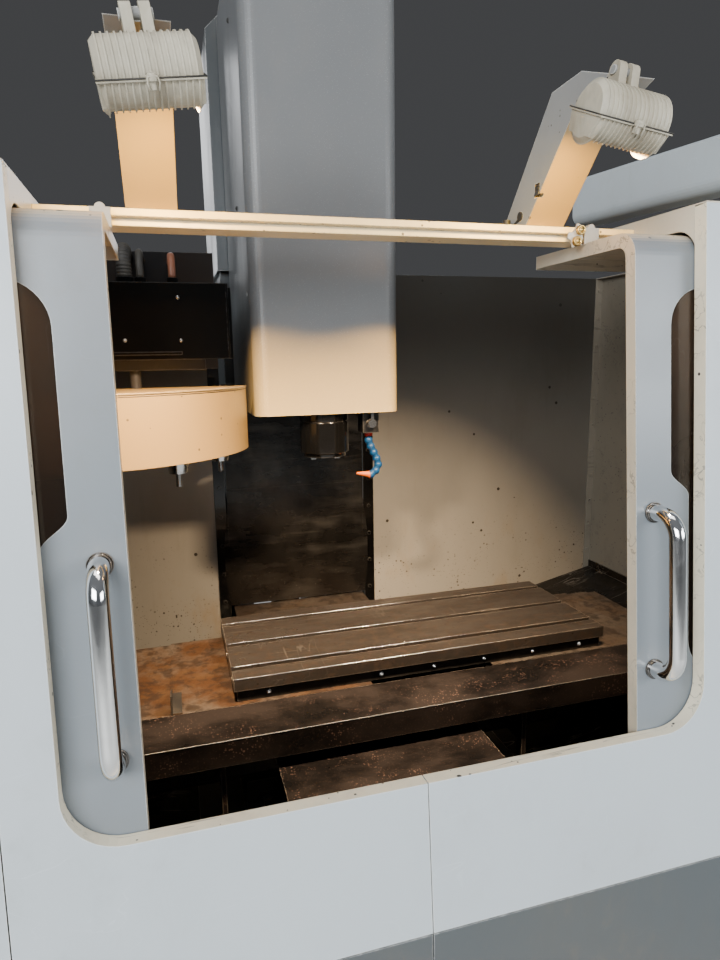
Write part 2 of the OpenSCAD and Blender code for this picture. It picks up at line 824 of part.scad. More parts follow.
// Cross slide on the Y rails, with the X rails, its motor and the nut of the Y screw
module saddle_casting() color("#6a6f72") machine() {
    mid = table_mid_y;
    difference() {
        union() {
            along_x([-saddle_half, saddle_half]) polygon([[saddle_y[0], saddle_z],
                [saddle_y[0], wing_z + 20],
                [saddle_y[0] + 20, wing_z], [saddle_y[1] - 20, wing_z], [saddle_y[1], wing_z + 20],
                    [saddle_y[1], saddle_z]]);
            both() span([pad_inner, pad_outer], saddle_y, [foot_z, wing_z + 1]);
            span([-nut_half, nut_half], [mid - nut_len / 2, mid + nut_len / 2],
                [y_screw_z - nut_drop, wing_z + 1]);
        }
        both() translate([y_rail_x, 0, foot_z])
            span([-rail_w / 2 - rail_gap, rail_w / 2 + rail_gap], [saddle_y[0] - 1, saddle_y[1] + 1],
                [-1, groove]);
        rod_y(screw_r + run_gap, [mid - nut_len, mid + nut_len], [0, y_screw_z]);
        span([-saddle_half + bearing_t, saddle_half - bearing_t], [mid - trough_half, mid + trough_half],
            [trough_z, saddle_z + 1]);
        rod_x(screw_r + run_gap, [-saddle_half - 1, saddle_half + 1], [mid, x_screw_z]);
    }
    for (side = [-1, 1]) translate([0, mid + side * x_rail_y, saddle_z])
        along_x([-x_rail_half, x_rail_half]) rail_section();
    translate([saddle_half, mid, x_screw_z]) rotate([0, 90, 0]) rotate(90) motor();
}

// A folded cover sheet with both long edges turned down, of which each next one nests in the last
module tray(x, level, edge) {
    in = level * (tray_sheet + slide_gap);
    top = tray_z - level * tray_sheet;
    y = [tray_y[0] + in, tray_y[1] - in];
    span(x, y, [top - tray_sheet, top]);
    span(x, [y[0], y[0] + tray_sheet], [top - edge, top - tray_sheet]);
    span(x, [y[1] - tray_sheet, y[1]], [top - edge, top - tray_sheet]);
}

// Shelf in front of the table with its worn lip, its posts and the first front way cover
module front_apron() color("#4a4441") machine() {
    back = tray_y[0] - 1;
    low = tray_z - apron_drop;
    along_x([-tray_half, tray_half]) polygon([[back, tray_z], [back, tray_z - tray_sheet],
        [apron_front + tray_sheet, low - tray_sheet], [apron_front + tray_sheet,
            low - apron_lip + tray_sheet],
        [apron_front + apron_hem, low - apron_lip + tray_sheet],
            [apron_front + apron_hem, low - apron_lip],
        [apron_front, low - apron_lip], [apron_front, low]]);
    span([-saddle_half, saddle_half], [back - tray_sheet, back], [saddle_z, tray_z - tray_sheet]);
    both() {
        span([post_at, post_at + post_t], [post_front, post_front + post_w], [post_low, low]);
        span([post_at, post_at + post_t], [post_front + post_w, saddle_y[0]], [wing_z + 20, wing_z + 50]);
    }
    y_cover([apron_cover, saddle_y[0]], 0);
}

// Flat way cover in front of the saddle, of which each next one lies under the last
module y_cover(y, level) {
    top = y_fixed_z + (2 - level) * tray_sheet;
    span([-y_cover_half, y_cover_half], y, [top - tray_sheet, top]);
}

module y_cover_mid() color("#565b5c") machine() y_cover(y_mid, 1);

// Covers fixed to the saddle: one at each end under the sliding ones, and one behind
module saddle_covers() color("#6b5446") machine() {
    both() {
        tray([tray_half - fixed_len, tray_half], 2, tray_edge);
        in = 2 * (tray_sheet + slide_gap);
        for (y = [tray_y[0] + in, tray_y[1] - in - tray_sheet])
            span([tray_half - fixed_len, saddle_half], [y, y + tray_sheet],
                [saddle_z, tray_z - 2 * tray_sheet - tray_edge]);
    }
    rear = [saddle_y[1], saddle_y[1] + rear_cover];
    span([-y_cover_half, y_cover_half], rear, [saddle_z - 10, saddle_z - 10 + tray_sheet]);
    both() span([y_cover_half - tray_sheet, y_cover_half], rear, [saddle_z - tray_edge, saddle_z - 10]);
}

module x_covers_mid() color("#7d5f48") machine() {
    tray([mid_left, mid_left + mid_len], 1, tray_edge);
    tray([mid_right - mid_len, mid_right], 1, tray_edge);
}

module table() color("#5d564f") machine() {
    x = [table_x - table_w / 2, table_x + table_w / 2];
    y = [table_y, table_y + table_d];
    keel_x = [table_x - keel_len / 2, table_x + keel_len / 2];
    keel_y = [table_mid_y - keel_d / 2, table_mid_y + keel_d / 2];
    difference() {
        union() {
            span(x, y, [table_z - table_band, table_z]);
            span([x[0] + band_step, x[1] - band_step], [y[0] + band_step, y[1] - band_step],
                [slab_z, table_z - table_band]);
            span(keel_x, keel_y, [keel_z, slab_z]);
            span([table_x - nut_len, table_x + nut_len], [table_mid_y - nut_half, table_mid_y + nut_half],
                [x_screw_z - nut_drop, keel_z]);
        }
        for (n = [0:slot_count - 1]) translate([0, table_mid_y + (n - (slot_count - 1) / 2) * slot_pitch,
            0]) {
            span([x[0] - 1, x[1] + 1], [-slot_neck / 2, slot_neck / 2],
                [table_z - slot_deep - 1, table_z + 1]);
            span([x[0] - 1, x[1] + 1], [-slot_head / 2, slot_head / 2],
                [table_z - slot_deep - slot_tall, table_z - slot_deep]);
        }
        for (side = [-1, 1]) translate([0, table_mid_y + side * x_rail_y, keel_z])
            span([keel_x[0] - 1, keel_x[1] + 1], [-rail_w / 2 - rail_gap, rail_w / 2 + rail_gap],
                [-1, groove]);
        rod_x(screw_r + run_gap, [keel_x[0], keel_x[1]], [table_mid_y, x_screw_z]);
    }
}

// Covers that travel with the table, and the small guard on the left one
module table_covers() color("#8a6748") machine() {
    left = table_x - keel_len / 2;
    right = table_x + keel_len / 2;
    tray([left - inner_len, left], 0, tray_edge);
    tray([right, right + inner_len], 0, tray_edge);
    translate([left - inner_len, 0, tray_z]) {
        along_x([0, 3]) polygon([[tray_y[0], 0], [tray_y[0] + 90, 0], [tray_y[0] + 90, 12],
            [tray_y[0] + 20, 42], [tray_y[0], 42]]);
        span([3, 22], [tray_y[0], tray_y[0] + 90], [0, 3]);
    }
}

module x_ballscrew() color("silver") machine()
    rod_x(screw_r, [-saddle_half, saddle_half], [table_mid_y, x_screw_z]);

module y_ballscrew() color("silver") machine()
    rod_y(screw_r, [screw_front, y_motor_y], [0, y_screw_z]);

module z_ballscrew() color("silver") machine()
    rod_z(screw_r, [z_rail_low, column_top], [0, z_screw_y]);

function z_sheet(level) = back_y - way_t - level * tray_sheet;

module z_cover_mid() color("#55524d") machine()
    span([-way_half + 4, way_half - 4], [z_sheet(1), z_sheet(1) + tray_sheet],
        [z_mid_low, z_mid_low + z_mid_h]);

module z_cover_head() color("#5d5a54") machine()
    span([-way_half + 4, way_half - 4], [z_sheet(2), z_sheet(2) + tray_sheet],
        [casting_z - head_plate - 44, casting_z]);

module head_casting() color("#7d8489") machine() {
    difference() {
        union() {
            span([-nose_half, nose_half], [nose_y, plate_y], [casting_z, casting_z + nose_h]);
            span([-plate_half, plate_half], [plate_y, carriage_y], [casting_z, casting_z + plate_h]);
            both() along_x([nose_half - 24, nose_half]) polygon([[plate_y, casting_z + nose_h],
                [plate_y - 160, casting_z + nose_h], [plate_y, casting_z + plate_h - 20]]);
            both() span([nose_half, head_half - head_wall], [900, 940], [casting_z + 60, casting_z + 100]);
            span([-nut_half, nut_half], [carriage_y, z_screw_y + nut_half],
                [casting_z + 120, casting_z + nose_h]);
        }
        both() translate([z_rail_x, carriage_y, 0])
            span([-rail_w / 2 - rail_gap, rail_w / 2 + rail_gap], [-groove, 1],
                [casting_z - 1, casting_z + plate_h + 1]);
        rod_z(shaft_r + run_gap, [casting_z - 1, casting_z + nose_h + 1], [0, spindle_y]);
        rod_z(screw_r + run_gap, [casting_z, casting_z + 300], [0, z_screw_y]);
    }
    translate([0, motor_y, casting_z + nose_h]) {
        span([-90, 90], [-90, 90], [0, 300]);
        rod_z(78, [300, 350], [0, 0]);
    }
}

// Tall sheet cover with rounded corners, open towards the column
module head_cover() color("#9aa2a8") machine() difference() {
    along_z([head_z, head_top]) head_outline(0);
    along_z([head_z + head_wall, head_top - head_wall]) head_outline(head_wall);
    rod_z(housing_r + 2, [head_z - 1, head_z + head_wall + 1], [0, spindle_y]);
    rod_x(7, [-head_half - 1, -head_half + head_wall + 1], [head_y + 70, head_z + 300]);
}

module head_outline(in) {
    half = head_half - in;
    r = head_r - in;
    rear = head_rear + (in > 0 ? 1 : 0);
    polygon(concat([[half, rear]], arc([head_half - head_r, head_y + head_r], r, 0, -90, 8),
        arc([-head_half + head_r, head_y + head_r], r, -90, -180, 8), [[-half, rear]]));
}

module spindle_housing() color("#1d1e20") machine() translate([0, spindle_y, 0]) {
    bore = spindle_r + run_gap;
    rotate_extrude() polygon([[bore, nose_z + 2], [housing_r - 8, nose_z + 2],
        [housing_r - 8, nose_z + 10], [housing_r, nose_z + 14], [housing_r, head_z - 26],
        [housing_r - 3, head_z - 22], [housing_r, head_z - 18], [housing_r, casting_z - 14],
        [housing_r + 8, casting_z - 14], [housing_r + 8, casting_z], [bore, casting_z]]);
}

// Spindle with its steep taper, drive keys and belt pulley
module spindle() color("#b9bcc0") machine() translate([0, spindle_y, 0]) {
    socket = nose_z + taper_deep;
    rotate_extrude() polygon([[taper_r, nose_z], [spindle_r, nose_z], [spindle_r, casting_z - 0.3],
        [shaft_r, casting_z - 0.3], [shaft_r, casting_z + 210], [56, casting_z + 210],
            [56, casting_z + 250],
        [drawbar_r, casting_z + 250], [drawbar_r, socket], [taper_r - taper_deep * 7 / 48, socket]]);
    both() span([taper_r + 3, spindle_r - 3], [-7, 7], [nose_z - 7, nose_z]);
}

// Coolant tap under the head cover, on the right of the spindle
module coolant_valve() color("#2a2c30") machine() {
    difference() {
        union() {
            span([tap_x - 22, tap_x + 22], [tap_y - 24, tap_y + 24], [tap_z, head_z]);
            rod_z(11, [tap_z - 10, tap_z], [tap_x, tap_y]);
            rod_y(12, [tap_y - 32, tap_y - 24], [tap_x, tap_z + 26]);
        }
        rod_y(4 + run_gap, [tap_y - 33, tap_y - 10], [tap_x, tap_z + 26]);
        rod_z(6 + run_gap, [tap_z - 11, tap_z + 6], [tap_x, tap_y]);
    }
}

module valve_lever() color("#a3271f") machine() {
    rod_y(4, [tap_y - 36, tap_y - 11], [tap_x, tap_z + 26]);
    rod_y(11, [tap_y - 40, tap_y - 32.3], [tap_x, tap_z + 26]);
    span([tap_x - 4, tap_x + 4], [tap_y - 40, tap_y - 35], [tap_z + 26, tap_z + 54]);
}

// Segmented hose, a chain of balls and sockets with a round nozzle at its end
module coolant_nozzle() color("#2f6fae") machine() {
    rod_z(6, [tap_z - 14, tap_z + 5], [tap_x, tap_y]);
    for (n = [0:len(hose_path) - 1]) {
        translate(hose_at(n)) sphere(r = hose_r, $fn = 24);
        if (n > 0) link(hose_at(n - 1), hose_at(n), hose_r - 2, hose_r - 2);
    }
    last = hose_at(len(hose_path) - 1);
    link(last, last + [-40, 0, 6], hose_r - 1, 3.5);
}

function hose_at(n) = [tap_x + hose_path[n][0], tap_y, tap_z - 11 - hose_r + hose_path[n][1]];

module link(a, b, r0, r1) {
    d = b - a;
    translate(a) rotate([0, atan2(norm([d[0], d[1]]), d[2]), atan2(d[1], d[0])])
        cylinder(r1 = r0, r2 = r1, h = norm(d), $fn = 24);
}

// Arm on the back wall that carries the tool changer on two rails
module changer_bracket() color("#7c8083") machine() {
    x = [-bracket_left, -bracket_right];
    for (at = [x[0], x[1] - bracket_wall]) along_x([at, at + bracket_wall])
        polygon([[bracket_y, bracket_z],
        [bracket_y, bracket_top], [back_y, bracket_top], [back_y, bracket_z - 40],
            [back_y - 90, bracket_z]]);
    span(x, [bracket_y, back_y], [bracket_top - bracket_wall, bracket_top]);
    span(x, [bracket_y, bracket_y + bracket_wall], [bracket_z, bracket_top - bracket_wall]);
    span([x[0] + bracket_wall, x[1] - bracket_wall], [back_y - bracket_wall, back_y],
        [bracket_z - 40, bracket_top - bracket_wall]);
    for (z = shuttle_rails) span(x, [bracket_y - shuttle_rail, bracket_y], [z, z + shuttle_rail]);
}

// Carriage of the tool changer, with the shelf for its motor box and the carousel bearing
module changer_shuttle() color("#63676a") machine() {
    x = [-box_left, -box_right - 2 * box_lip];
    difference() {
        union() {
            span(x, [shuttle_y, shuttle_y + 15], [shelf_z, shuttle_top]);
            for (z = shuttle_rails, at = [x[0] + 30, x[1] - 110])
                span([at, at + 80], [shuttle_y + 15, bracket_y - 1], [z - 12, z + shuttle_rail + 12]);
        }
        for (z = shuttle_rails) span([x[0] - 1, x[1] + 1], [bracket_y - shuttle_rail - rail_gap,
            bracket_y],
            [z - rail_gap, z + shuttle_rail + rail_gap]);
    }
    difference() {
        union() {
            span([x[0], x[1] - 40], [box_y + box_d - 40, shuttle_y], [shelf_z, box_z]);
            translate([-carousel_x, spindle_y, 0]) rod_z(hub_r, [hub_z, shelf_z], [0, 0]);
        }
        rod_z(carousel_shaft + run_gap, [hub_z - 1, box_z - 6], [-carousel_x, spindle_y]);
    }
    for (side = [-1, 1])
        rod_z(12, [cover_low + cover_h, shelf_z], [-carousel_x + side * 110, box_y + box_d - 28]);
}

// Black housing of the changer motor with a folded lip at the back, and the hoses that run up from it
module changer_box() color("#17181a") machine() {
    x = [-box_left, -box_right];
    difference() {
        span([x[0] + box_lip, x[1] - box_lip], [box_y, box_y + box_d - 3], [box_z, box_z + box_h]);
        for (side = [0, 1]) translate([side == 0 ? x[0] + box_lip : x[1] - box_lip, box_y, box_z - 1])
            rotate(45) cube([7, 7, 2 * box_h + 4], center = true);
    }
    span(x, [box_y + box_d - 3, box_y + box_d], [box_z, box_z + box_h]);
    span([x[0] + 60, x[1] - 120], [box_y - 2, box_y], [box_z + 10, box_z + 16]);
    for (hose = changer_hoses) hose(hose[0], hose[1], hose[2]);
}

// Hose that stands on the motor box, bends back and ends at the carriage
module hose(x, r, rise) {
    top = box_z + box_h;
    y = box_y + box_d - 34;
    translate([x, y, 0]) {
        rod_z(r, [top, top + rise], [0, 0]);
        rod_z(r + 4, [top, top + 16], [0, 0]);
        translate([0, hose_bend, top + rise]) rotate([90, 0, 90]) rotate(90)
            rotate_extrude(angle = 90) translate([hose_bend, 0]) circle(r);
        rod_y(r, [hose_bend, shuttle_y - y], [0, top + rise + hose_bend]);
    }
}

module carousel_cover() color("#d9cdb2") machine() translate([-carousel_x, spindle_y, cover_low])
    difference() {
        cylinder(r = cover_r, h = cover_h, $fn = 160);
        translate([0, 0, -1]) cylinder(r = cover_r - tray_sheet, h = cover_h - tray_sheet + 1, $fn = 160);
        span([-cover_r - 1, cover_r + 1], [cover_cut - spindle_y, cover_r + 1], [-1, cover_h + 1]);
    }

// Turning plate with one open fork for each tool
module carousel() color("#8d9296") machine() translate([-carousel_x, spindle_y, 0]) {
    along_z([fork_z, fork_z + fork_t]) difference() {
        union() {
            circle(pocket_circle - 36, $fn = 120);
            for (n = [0:pockets - 1]) rotate(pocket_turn + n * 360 / pockets)
                translate([pocket_circle - 50, -fork_w / 2]) square([70, fork_w]);
        }
        for (n = [0:pockets - 1]) rotate(pocket_turn + n * 360 / pockets) translate([pocket_circle, 0]) {
            circle(groove_r + rail_gap, $fn = 32);
            polygon([[8, -groove_r + 3], [30, -groove_r], [30, groove_r], [8, groove_r - 3]]);
        }
    }
    rod_z(carousel_shaft, [fork_z, box_z - 7], [0, 0]);
}

// Tools in every second fork, each thinner than the last
module changer_tools() color("#9da0a3") machine() translate([-carousel_x, spindle_y, 0])
    for (n = [0:tools - 1]) rotate(tool_turn - n * 720 / pockets) translate([pocket_circle, 0, 0]) {
        tip = fork_z - 64 - 4 * n;
        top = fork_z + fork_t;
        rotate_extrude() polygon([[0, tip], [6 + n, tip], [6 + n, fork_z - 40], [20, fork_z - 38],
            [24, fork_z - 14], [flange_r, fork_z - 12], [flange_r, fork_z - rail_gap],
            [groove_r, fork_z - rail_gap], [groove_r, top + rail_gap], [flange_r, top + rail_gap],
            [flange_r, top + 8], [taper_r, top + 8], [drawbar_r, top + 74], [stud_r, top + 76],
            [stud_r, top + 94], [0, top + 94]]);
    }

// Outline of a window, in distance from the leading edge and distance up the slope, grown by a margin
function window_path(m) = concat(
    arc([window_margin + window_step + window_r, slope(window_low) + window_r], window_r + m, -90, -180),
    [for (i = [0:8]) [window_margin + window_step * (1 + cos(22.5 * i)) / 2 - m,
        slope(step_z) + step_h * (i / 8 - 0.5)]],
    arc([window_margin + window_r, slope(window_top) - window_r], window_r + m, 180, 90),
    arc([window_margin + window_w - window_r, slope(window_top) - window_r], window_r + m, 90, 0),
    arc([window_margin + window_w - window_r, slope(window_low) + window_r], window_r + m, 0, -90));

// Door seen from its leading edge, which lies at X = 0
module door() {
    difference() {
        along_x([0, door_w]) polygon(concat(door_path(0), backwards(door_path(door_sheet))));
        leaning() along_y([door_face - 1, door_face + door_sheet + 1]) polygon(window_path(0));
    }
    along_x([0, door_sheet]) polygon(concat(door_path(door_sheet), backwards(door_path(door_flange))));
    span([0, door_w], [door_rear - door_sheet, door_rear],
        [door_top - rear_flange, door_top - door_sheet]);
    for (x = [-4, door_w - hanger_w]) translate([x, 0, 0]) {
        span([0, hanger_w], [track_y - 6, track_y - 3], [door_top - door_sheet, header_z + header_h - 4]);
        for (z = [track_z - hanger_r - rail_gap, track_z + track_t + hanger_r + rail_gap])
            rod_y(hanger_r, [track_y - 3, track_y + 8], [hanger_w / 2, z]);
    }
}

module left_door() color("#c3ccd2") machine() translate([-left_open, 0, 0]) mirror([1, 0, 0]) door();

module right_door() color("#c3ccd2") machine() translate([right_open, 0, 0]) door();

module window() leaning() along_y([door_face + door_sheet, door_face + door_sheet + pane_t])
    polygon(window_path(pane_lap));

module left_window() color("#5b4a3c") machine() translate([-left_open, 0, 0]) mirror([1, 0, 0]) window();

module right_window() color("#5b4a3c") machine() translate([right_open, 0, 0]) window();

module handle() leaning() translate([handle_in, door_face, slope(handle_z)]) {
    for (z = [0, handle_len]) translate([0, 0, z]) {
        rod_y(handle_r, [-handle_turn, 0], [0, 0]);
        rod_y(handle_r + 4, [-4, 0], [0, 0]);
    }
    rod_z(handle_r, [handle_bend, handle_len - handle_bend], [0, -handle_out]);
    translate([0, -handle_turn, handle_bend]) rotate([90, 0, 90]) rotate(180)
        rotate_extrude(angle = 90) translate([handle_bend, 0]) circle(handle_r);
    translate([0, -handle_turn, handle_len - handle_bend]) rotate([90, 0, 90]) rotate(90)
        rotate_extrude(angle = 90) translate([handle_bend, 0]) circle(handle_r);
}

module left_handle() color("silver") machine() translate([-left_open, 0, 0]) mirror([1, 0, 0]) handle();

module right_handle() color("silver") machine() translate([right_open, 0, 0]) handle();

// Frame of a lamp: the pivot at the nose of its arm, X along the lamp
module lamp_frame(side)
    translate([side < 0 ? left_lamp_x : right_lamp_x, lamp_pivot[0], lamp_pivot[1]])
    rotate(side < 0 ? left_lamp_turn : right_lamp_turn) children();

module lamp_arms() color("#cfc7b4") machine() {
    face = right_arm - arm_w / 2;
    gland = [face - 16, header_end[1] - 12];
    roof = header_z + header_h;
    difference() {
        for (x = [-left_arm, right_arm]) along_x([x - arm_w / 2, x + arm_w / 2]) polygon(arm_side);
        span([face - 1, face + 10], [switch_y - 9, switch_y + 9], [switch_z - 13, switch_z + 13]);
    }
    rod_x(9, [face - 3, face], grommet_at);
    for (side = [-1, 1]) lamp_frame(side) {
        rod_x(lamp_pin, [-lug_gap / 2 - lug_w - 3, lug_gap / 2 + lug_w + 3], [0, 0]);
        span([-lug_gap / 2 + 0.5, lug_gap / 2 - 0.5], [0, lug_seat], [-9, 9]);
    }
    // Gland at the foot of the right arm and the cable that lies along the header
    rod_z(8, [roof, roof + 18], gland);
    rod_x(3, [-left_arm + arm_w / 2, gland[0]], [gland[1], roof + 3]);
}

module lamp_head(side) color("#c9c0aa") machine() lamp_frame(side) {
    difference() {
        for (x = [-lug_gap / 2 - lug_w, lug_gap / 2]) along_x([x, x + lug_w]) hull() {
            circle(lug_r);
            translate([0, lamp_hang + 30]) square([2 * lug_r, 4], center = true);
        }
        rod_x(lamp_pin + run_gap, [-lug_gap - lug_w, lug_gap + lug_w], [0, 0]);
    }
    translate([0, lamp_back, lamp_hang]) rotate([lamp_aim, 0, 0]) lamp_body();
}

// Ribbed back, parting flange with its latch, and the skirt round the mouth
module lamp_body() {
    half = lamp_len / 2;
    end = half - lamp_round;
    mouth = lamp_r - lamp_draft - 5;
    difference() {
        union() {
            rotate([0, 90, 0]) rotate_extrude() polygon([[0, -half], [lamp_r - lamp_round, -half],
                [lamp_r, -end], [lamp_r, end], [lamp_r - lamp_round, half], [0, half]]);
            lamp_skirt_block([-half, half], 0);
            span([-half - lamp_rib, half + lamp_rib], [-lamp_r - 4, lamp_r + 4], [-3, 0]);
            for (n = [0:lamp_ribs - 1]) {
                x = (n / (lamp_ribs - 1) - 0.5) * (2 * end - lamp_rib) - lamp_rib / 2;
                rod_x(lamp_r + lamp_rib, [x, x + lamp_rib], [0, 0]);
                lamp_skirt_block([x, x + lamp_rib], lamp_rib);
            }
            rod_z(8, [-2, 4], [0, -lamp_r - 6]);
            rod_z(6, [-12, -2], [0, -lamp_r - 5]);
        }
        span([-half + 8, half - 8], [-mouth, mouth], [-lamp_skirt - lamp_r, -10]);
    }
}

module lamp_skirt_block(x, proud) {
    top = lamp_r + proud;
    low = top - lamp_draft;
    along_x(x) polygon([[-top, 0], [top, 0], [low, -lamp_skirt], [-low, -lamp_skirt]]);
}

module lamp_head_left() lamp_head(-1);

module lamp_head_right() lamp_head(1);

module lamp_switch() color("#151617") machine() {
    x = right_arm - arm_w / 2;
    along_y([switch_y - 7, switch_y + 7]) polygon([[x - 3, switch_z - 9], [x + 7, switch_z - 7],
        [x + 7, switch_z + 7], [x - 1, switch_z + 9], [x, switch_z]]);
    rod_y(2, [switch_y - 9, switch_y + 9], [x + 4, switch_z]);
}

// Post on the right pocket roof that carries the pendant arm
module pendant_post() color("#aab3b9") machine() translate([post_x, post_y, wall_top + sheet]) {
    cylinder(r = 84, h = 10);
    cylinder(r = 55, h = beam_z - wall_top - sheet - 6);
    cylinder(r = post_pin, h = beam_z - wall_top - sheet + 60);
    for (a = [45:90:315]) rotate(a) translate([70, 0, 0]) cylinder(r = 8, h = 16, $fn = 6);
}

// Frame of the pendant arm: the post axis, Y towards the back
module beam_frame() machine() translate([post_x, post_y, beam_z]) rotate(beam_angle) children();

module pendant_arm() color("#c3ccd2") beam_frame() {
    half = beam_w / 2;
    difference() {
        along_y([-beam_front, beam_back]) polygon(concat([[-half, beam_h - 8], [-half + 8, beam_h],
            [half - 8, beam_h], [half, beam_h - 8]],
            arc([half - beam_r, beam_r], beam_r, 0, -90, 6),
            arc([-half + beam_r, beam_r], beam_r, -90, -180, 6)));
        rod_z(post_pin + run_gap, [-1, 61], [0, 0]);
        rod_z(swivel_r + run_gap, [-1, 41], [0, 60 - beam_front]);
    }
    difference() {
        rod_z(52, [-6, 0], [0, 0]);
        rod_z(post_pin + run_gap, [-7, 1], [0, 0]);
    }
}

module pendant_frame() beam_frame() translate([0, 60 - beam_front, -pendant_gap]) children();

// Control pendant with its screen, keys and the wells of its buttons
module pendant() color("#b7c0c6") pendant_frame() {
    x = pendant_w / 2;
    y = pendant_d / 2;
    rod_z(swivel_r, [0, pendant_gap + 38], [0, 0]);
    rod_z(44, [0, 14], [0, 0]);
    difference() {
        union() {
            along_x([-x, x]) polygon([[-y, -pendant_h], [-y, -18], [-y + 18, 0], [y - 8, 0], [y, -8],
                [y, -pendant_h + 8], [y - 8, -pendant_h]]);
            span([-x + 20, x - 20], [y, y + 12], [-pendant_h + 60, -60]);
        }
        span(screen_x, [-y - 1, -y + 5], screen_z);
        for (at = [estop_at, start_at, jog_at]) rod_y(button_pin + run_gap, [-y - 1, -y + 30], at);
    }
    for (row = [0:4], column = [0:9]) {
        at = [-x + 30 + column * key_pitch[0], -pendant_h + 48 + row * key_pitch[1]];
        span([at[0], at[0] + key_w], [-y - 3, -y], [at[1], at[1] + key_h]);
    }
}

// Button on the pendant's face: a pin in its well and a cap that stands off the face
module button(at, r, low, high) {
    rod_y(button_pin, [pendant_face - low, pendant_face + 22], at);
    rod_y(r, [pendant_face - high, pendant_face - low], at);
}

module estop_button() color("#b3211c") pendant_frame() button(estop_at, 20, 12, 30);

module cycle_start_button() color("#2f7d3b") pendant_frame() button(start_at, 12, 5, 12);

module jog_wheel() color("#26282b") pendant_frame() {
    button(jog_at, 30, 2, 14);
    rod_y(5, [pendant_face - 30, pendant_face - 14], [jog_at[0] + 18, jog_at[1]]);
}

// Cabinet for the drives, open at the back where its door closes it
module electrical_cabinet() color("#9aa4ab") machine() {
    x = cabinet_w / 2;
    y = column_y + column_d;
    top = cabinet_z + cabinet_h;
    entry = [x - 120, y + 90];
    plate = y + cabinet_wall + 8;
    difference() {
        span([-x, x], [y, y + cabinet_d], [cabinet_z, top]);
        span([-x + cabinet_wall, x - cabinet_wall], [y + cabinet_wall, y + cabinet_d + 1],
            [cabinet_z + cabinet_wall, top - cabinet_wall]);
        rod_z(power_r + 7, [top - cabinet_wall - 1, top + 1], entry);
    }
    difference() {
        rod_z(power_r + 9, [top - cabinet_wall, top + 30], entry);
        rod_z(power_r, [top - cabinet_wall - 1, top + 31], entry);
    }
    // Mounting plate with the drives, the transformer and the contactors
    span([-x + 40, x - 40], [y + cabinet_wall, plate], [cabinet_z + 40, top - 40]);
    for (n = [0:3]) span([-x + 70 + n * 150, -x + 190 + n * 150], [plate, y + 150], [top - 420, top - 110]);
    span([-x + 70, -x + 330], [plate, y + 190], [cabinet_z + 120, cabinet_z + 420]);
    for (n = [0:2])
        span([x - 360 + n * 100, x - 290 + n * 100], [plate, y + 90], [cabinet_z + 240, cabinet_z + 360]);
    // Hinge knuckles for the door
    for (z = knuckles) difference() {
        union() {
            rod_z(hinge_r, [z, z + knuckle_h], [x + hinge_r, y + cabinet_d + 2]);
            span([x, x + 3], [y + cabinet_d - 40, y + cabinet_d - 2], [z, z + knuckle_h]);
        }
        rod_z(hinge_pin + run_gap, [z - 1, z + knuckle_h + 1], [x + hinge_r, y + cabinet_d + 2]);
    }
}

module cabinet_door() color("#a6b0b6") machine() {
    x = cabinet_w / 2;
    y = column_y + column_d + cabinet_d;
    lock = [-x + 50, cabinet_z + cabinet_h / 2];
    difference() {
        span([-x, x - 2], [y, y + cabinet_wall], [cabinet_z + 2, cabinet_z + cabinet_h - 2]);
        rod_y(14, [y - 1, y + cabinet_wall + 1], lock);
    }
    span([lock[0] - 20, lock[0] + 20], [y + cabinet_wall, y + cabinet_wall + 12],
        [lock[1] - 70, lock[1] + 70]);
    rod_y(14, [y - 12, y + cabinet_wall], lock);
    for (z = knuckles) {
        rod_z(hinge_pin, [z, z + knuckle_h], [x + hinge_r, y + 2]);
        rod_z(hinge_r, [z + knuckle_h + rail_gap, z + 70], [x + hinge_r, y + 2]);
        span([x - 2, x + hinge_r], [y + 2, y + cabinet_wall], [z + knuckle_h + rail_gap, z + 70]);
    }
}

// Tank beside the cabinet with its pump and the pipe to the back wall
module coolant_tank() color("#7f888e") machine() {
    x = [tank_x, tank_x + tank_w];
    pump = [x[0] + 160, tank_y[0] + 150];
    pipe = [x[0] + 160, tank_y[0] + 60];
    pipe_z = wall_low + 90;
    lid = tank_h + tank_sheet;
    difference() {
        span(x, tank_y, [tank_feet, tank_h]);
        span([x[0] + tank_sheet, x[1] - tank_sheet], [tank_y[0] + tank_sheet, tank_y[1] - tank_sheet],
            [tank_feet + tank_sheet, tank_h + 1]);
    }
    span([x[0], x[1] - tank_mouth], tank_y, [tank_h, lid]);
    for (px = [x[0] + 30, x[1] - 60], py = [tank_y[0] + 30, tank_y[1] - 60])
        span([px, px + 30], [py, py + 30], [0, tank_feet]);
    rod_z(pump_r + 12, [lid, lid + 12], pump);
    rod_z(pump_r, [lid + 12, lid + pump_h], pump);
    rod_z(pump_r + 6, [lid + pump_h, lid + pump_h + 16], pump);
    rod_y(pipe_r, [back_y + sheet, tank_y[0] + 110], [pipe[0], pipe_z]);
    rod_z(pipe_r, [lid, pipe_z], pipe);
    translate([pipe[0], pipe[1], pipe_z]) sphere(r = pipe_r, $fn = 32);
}

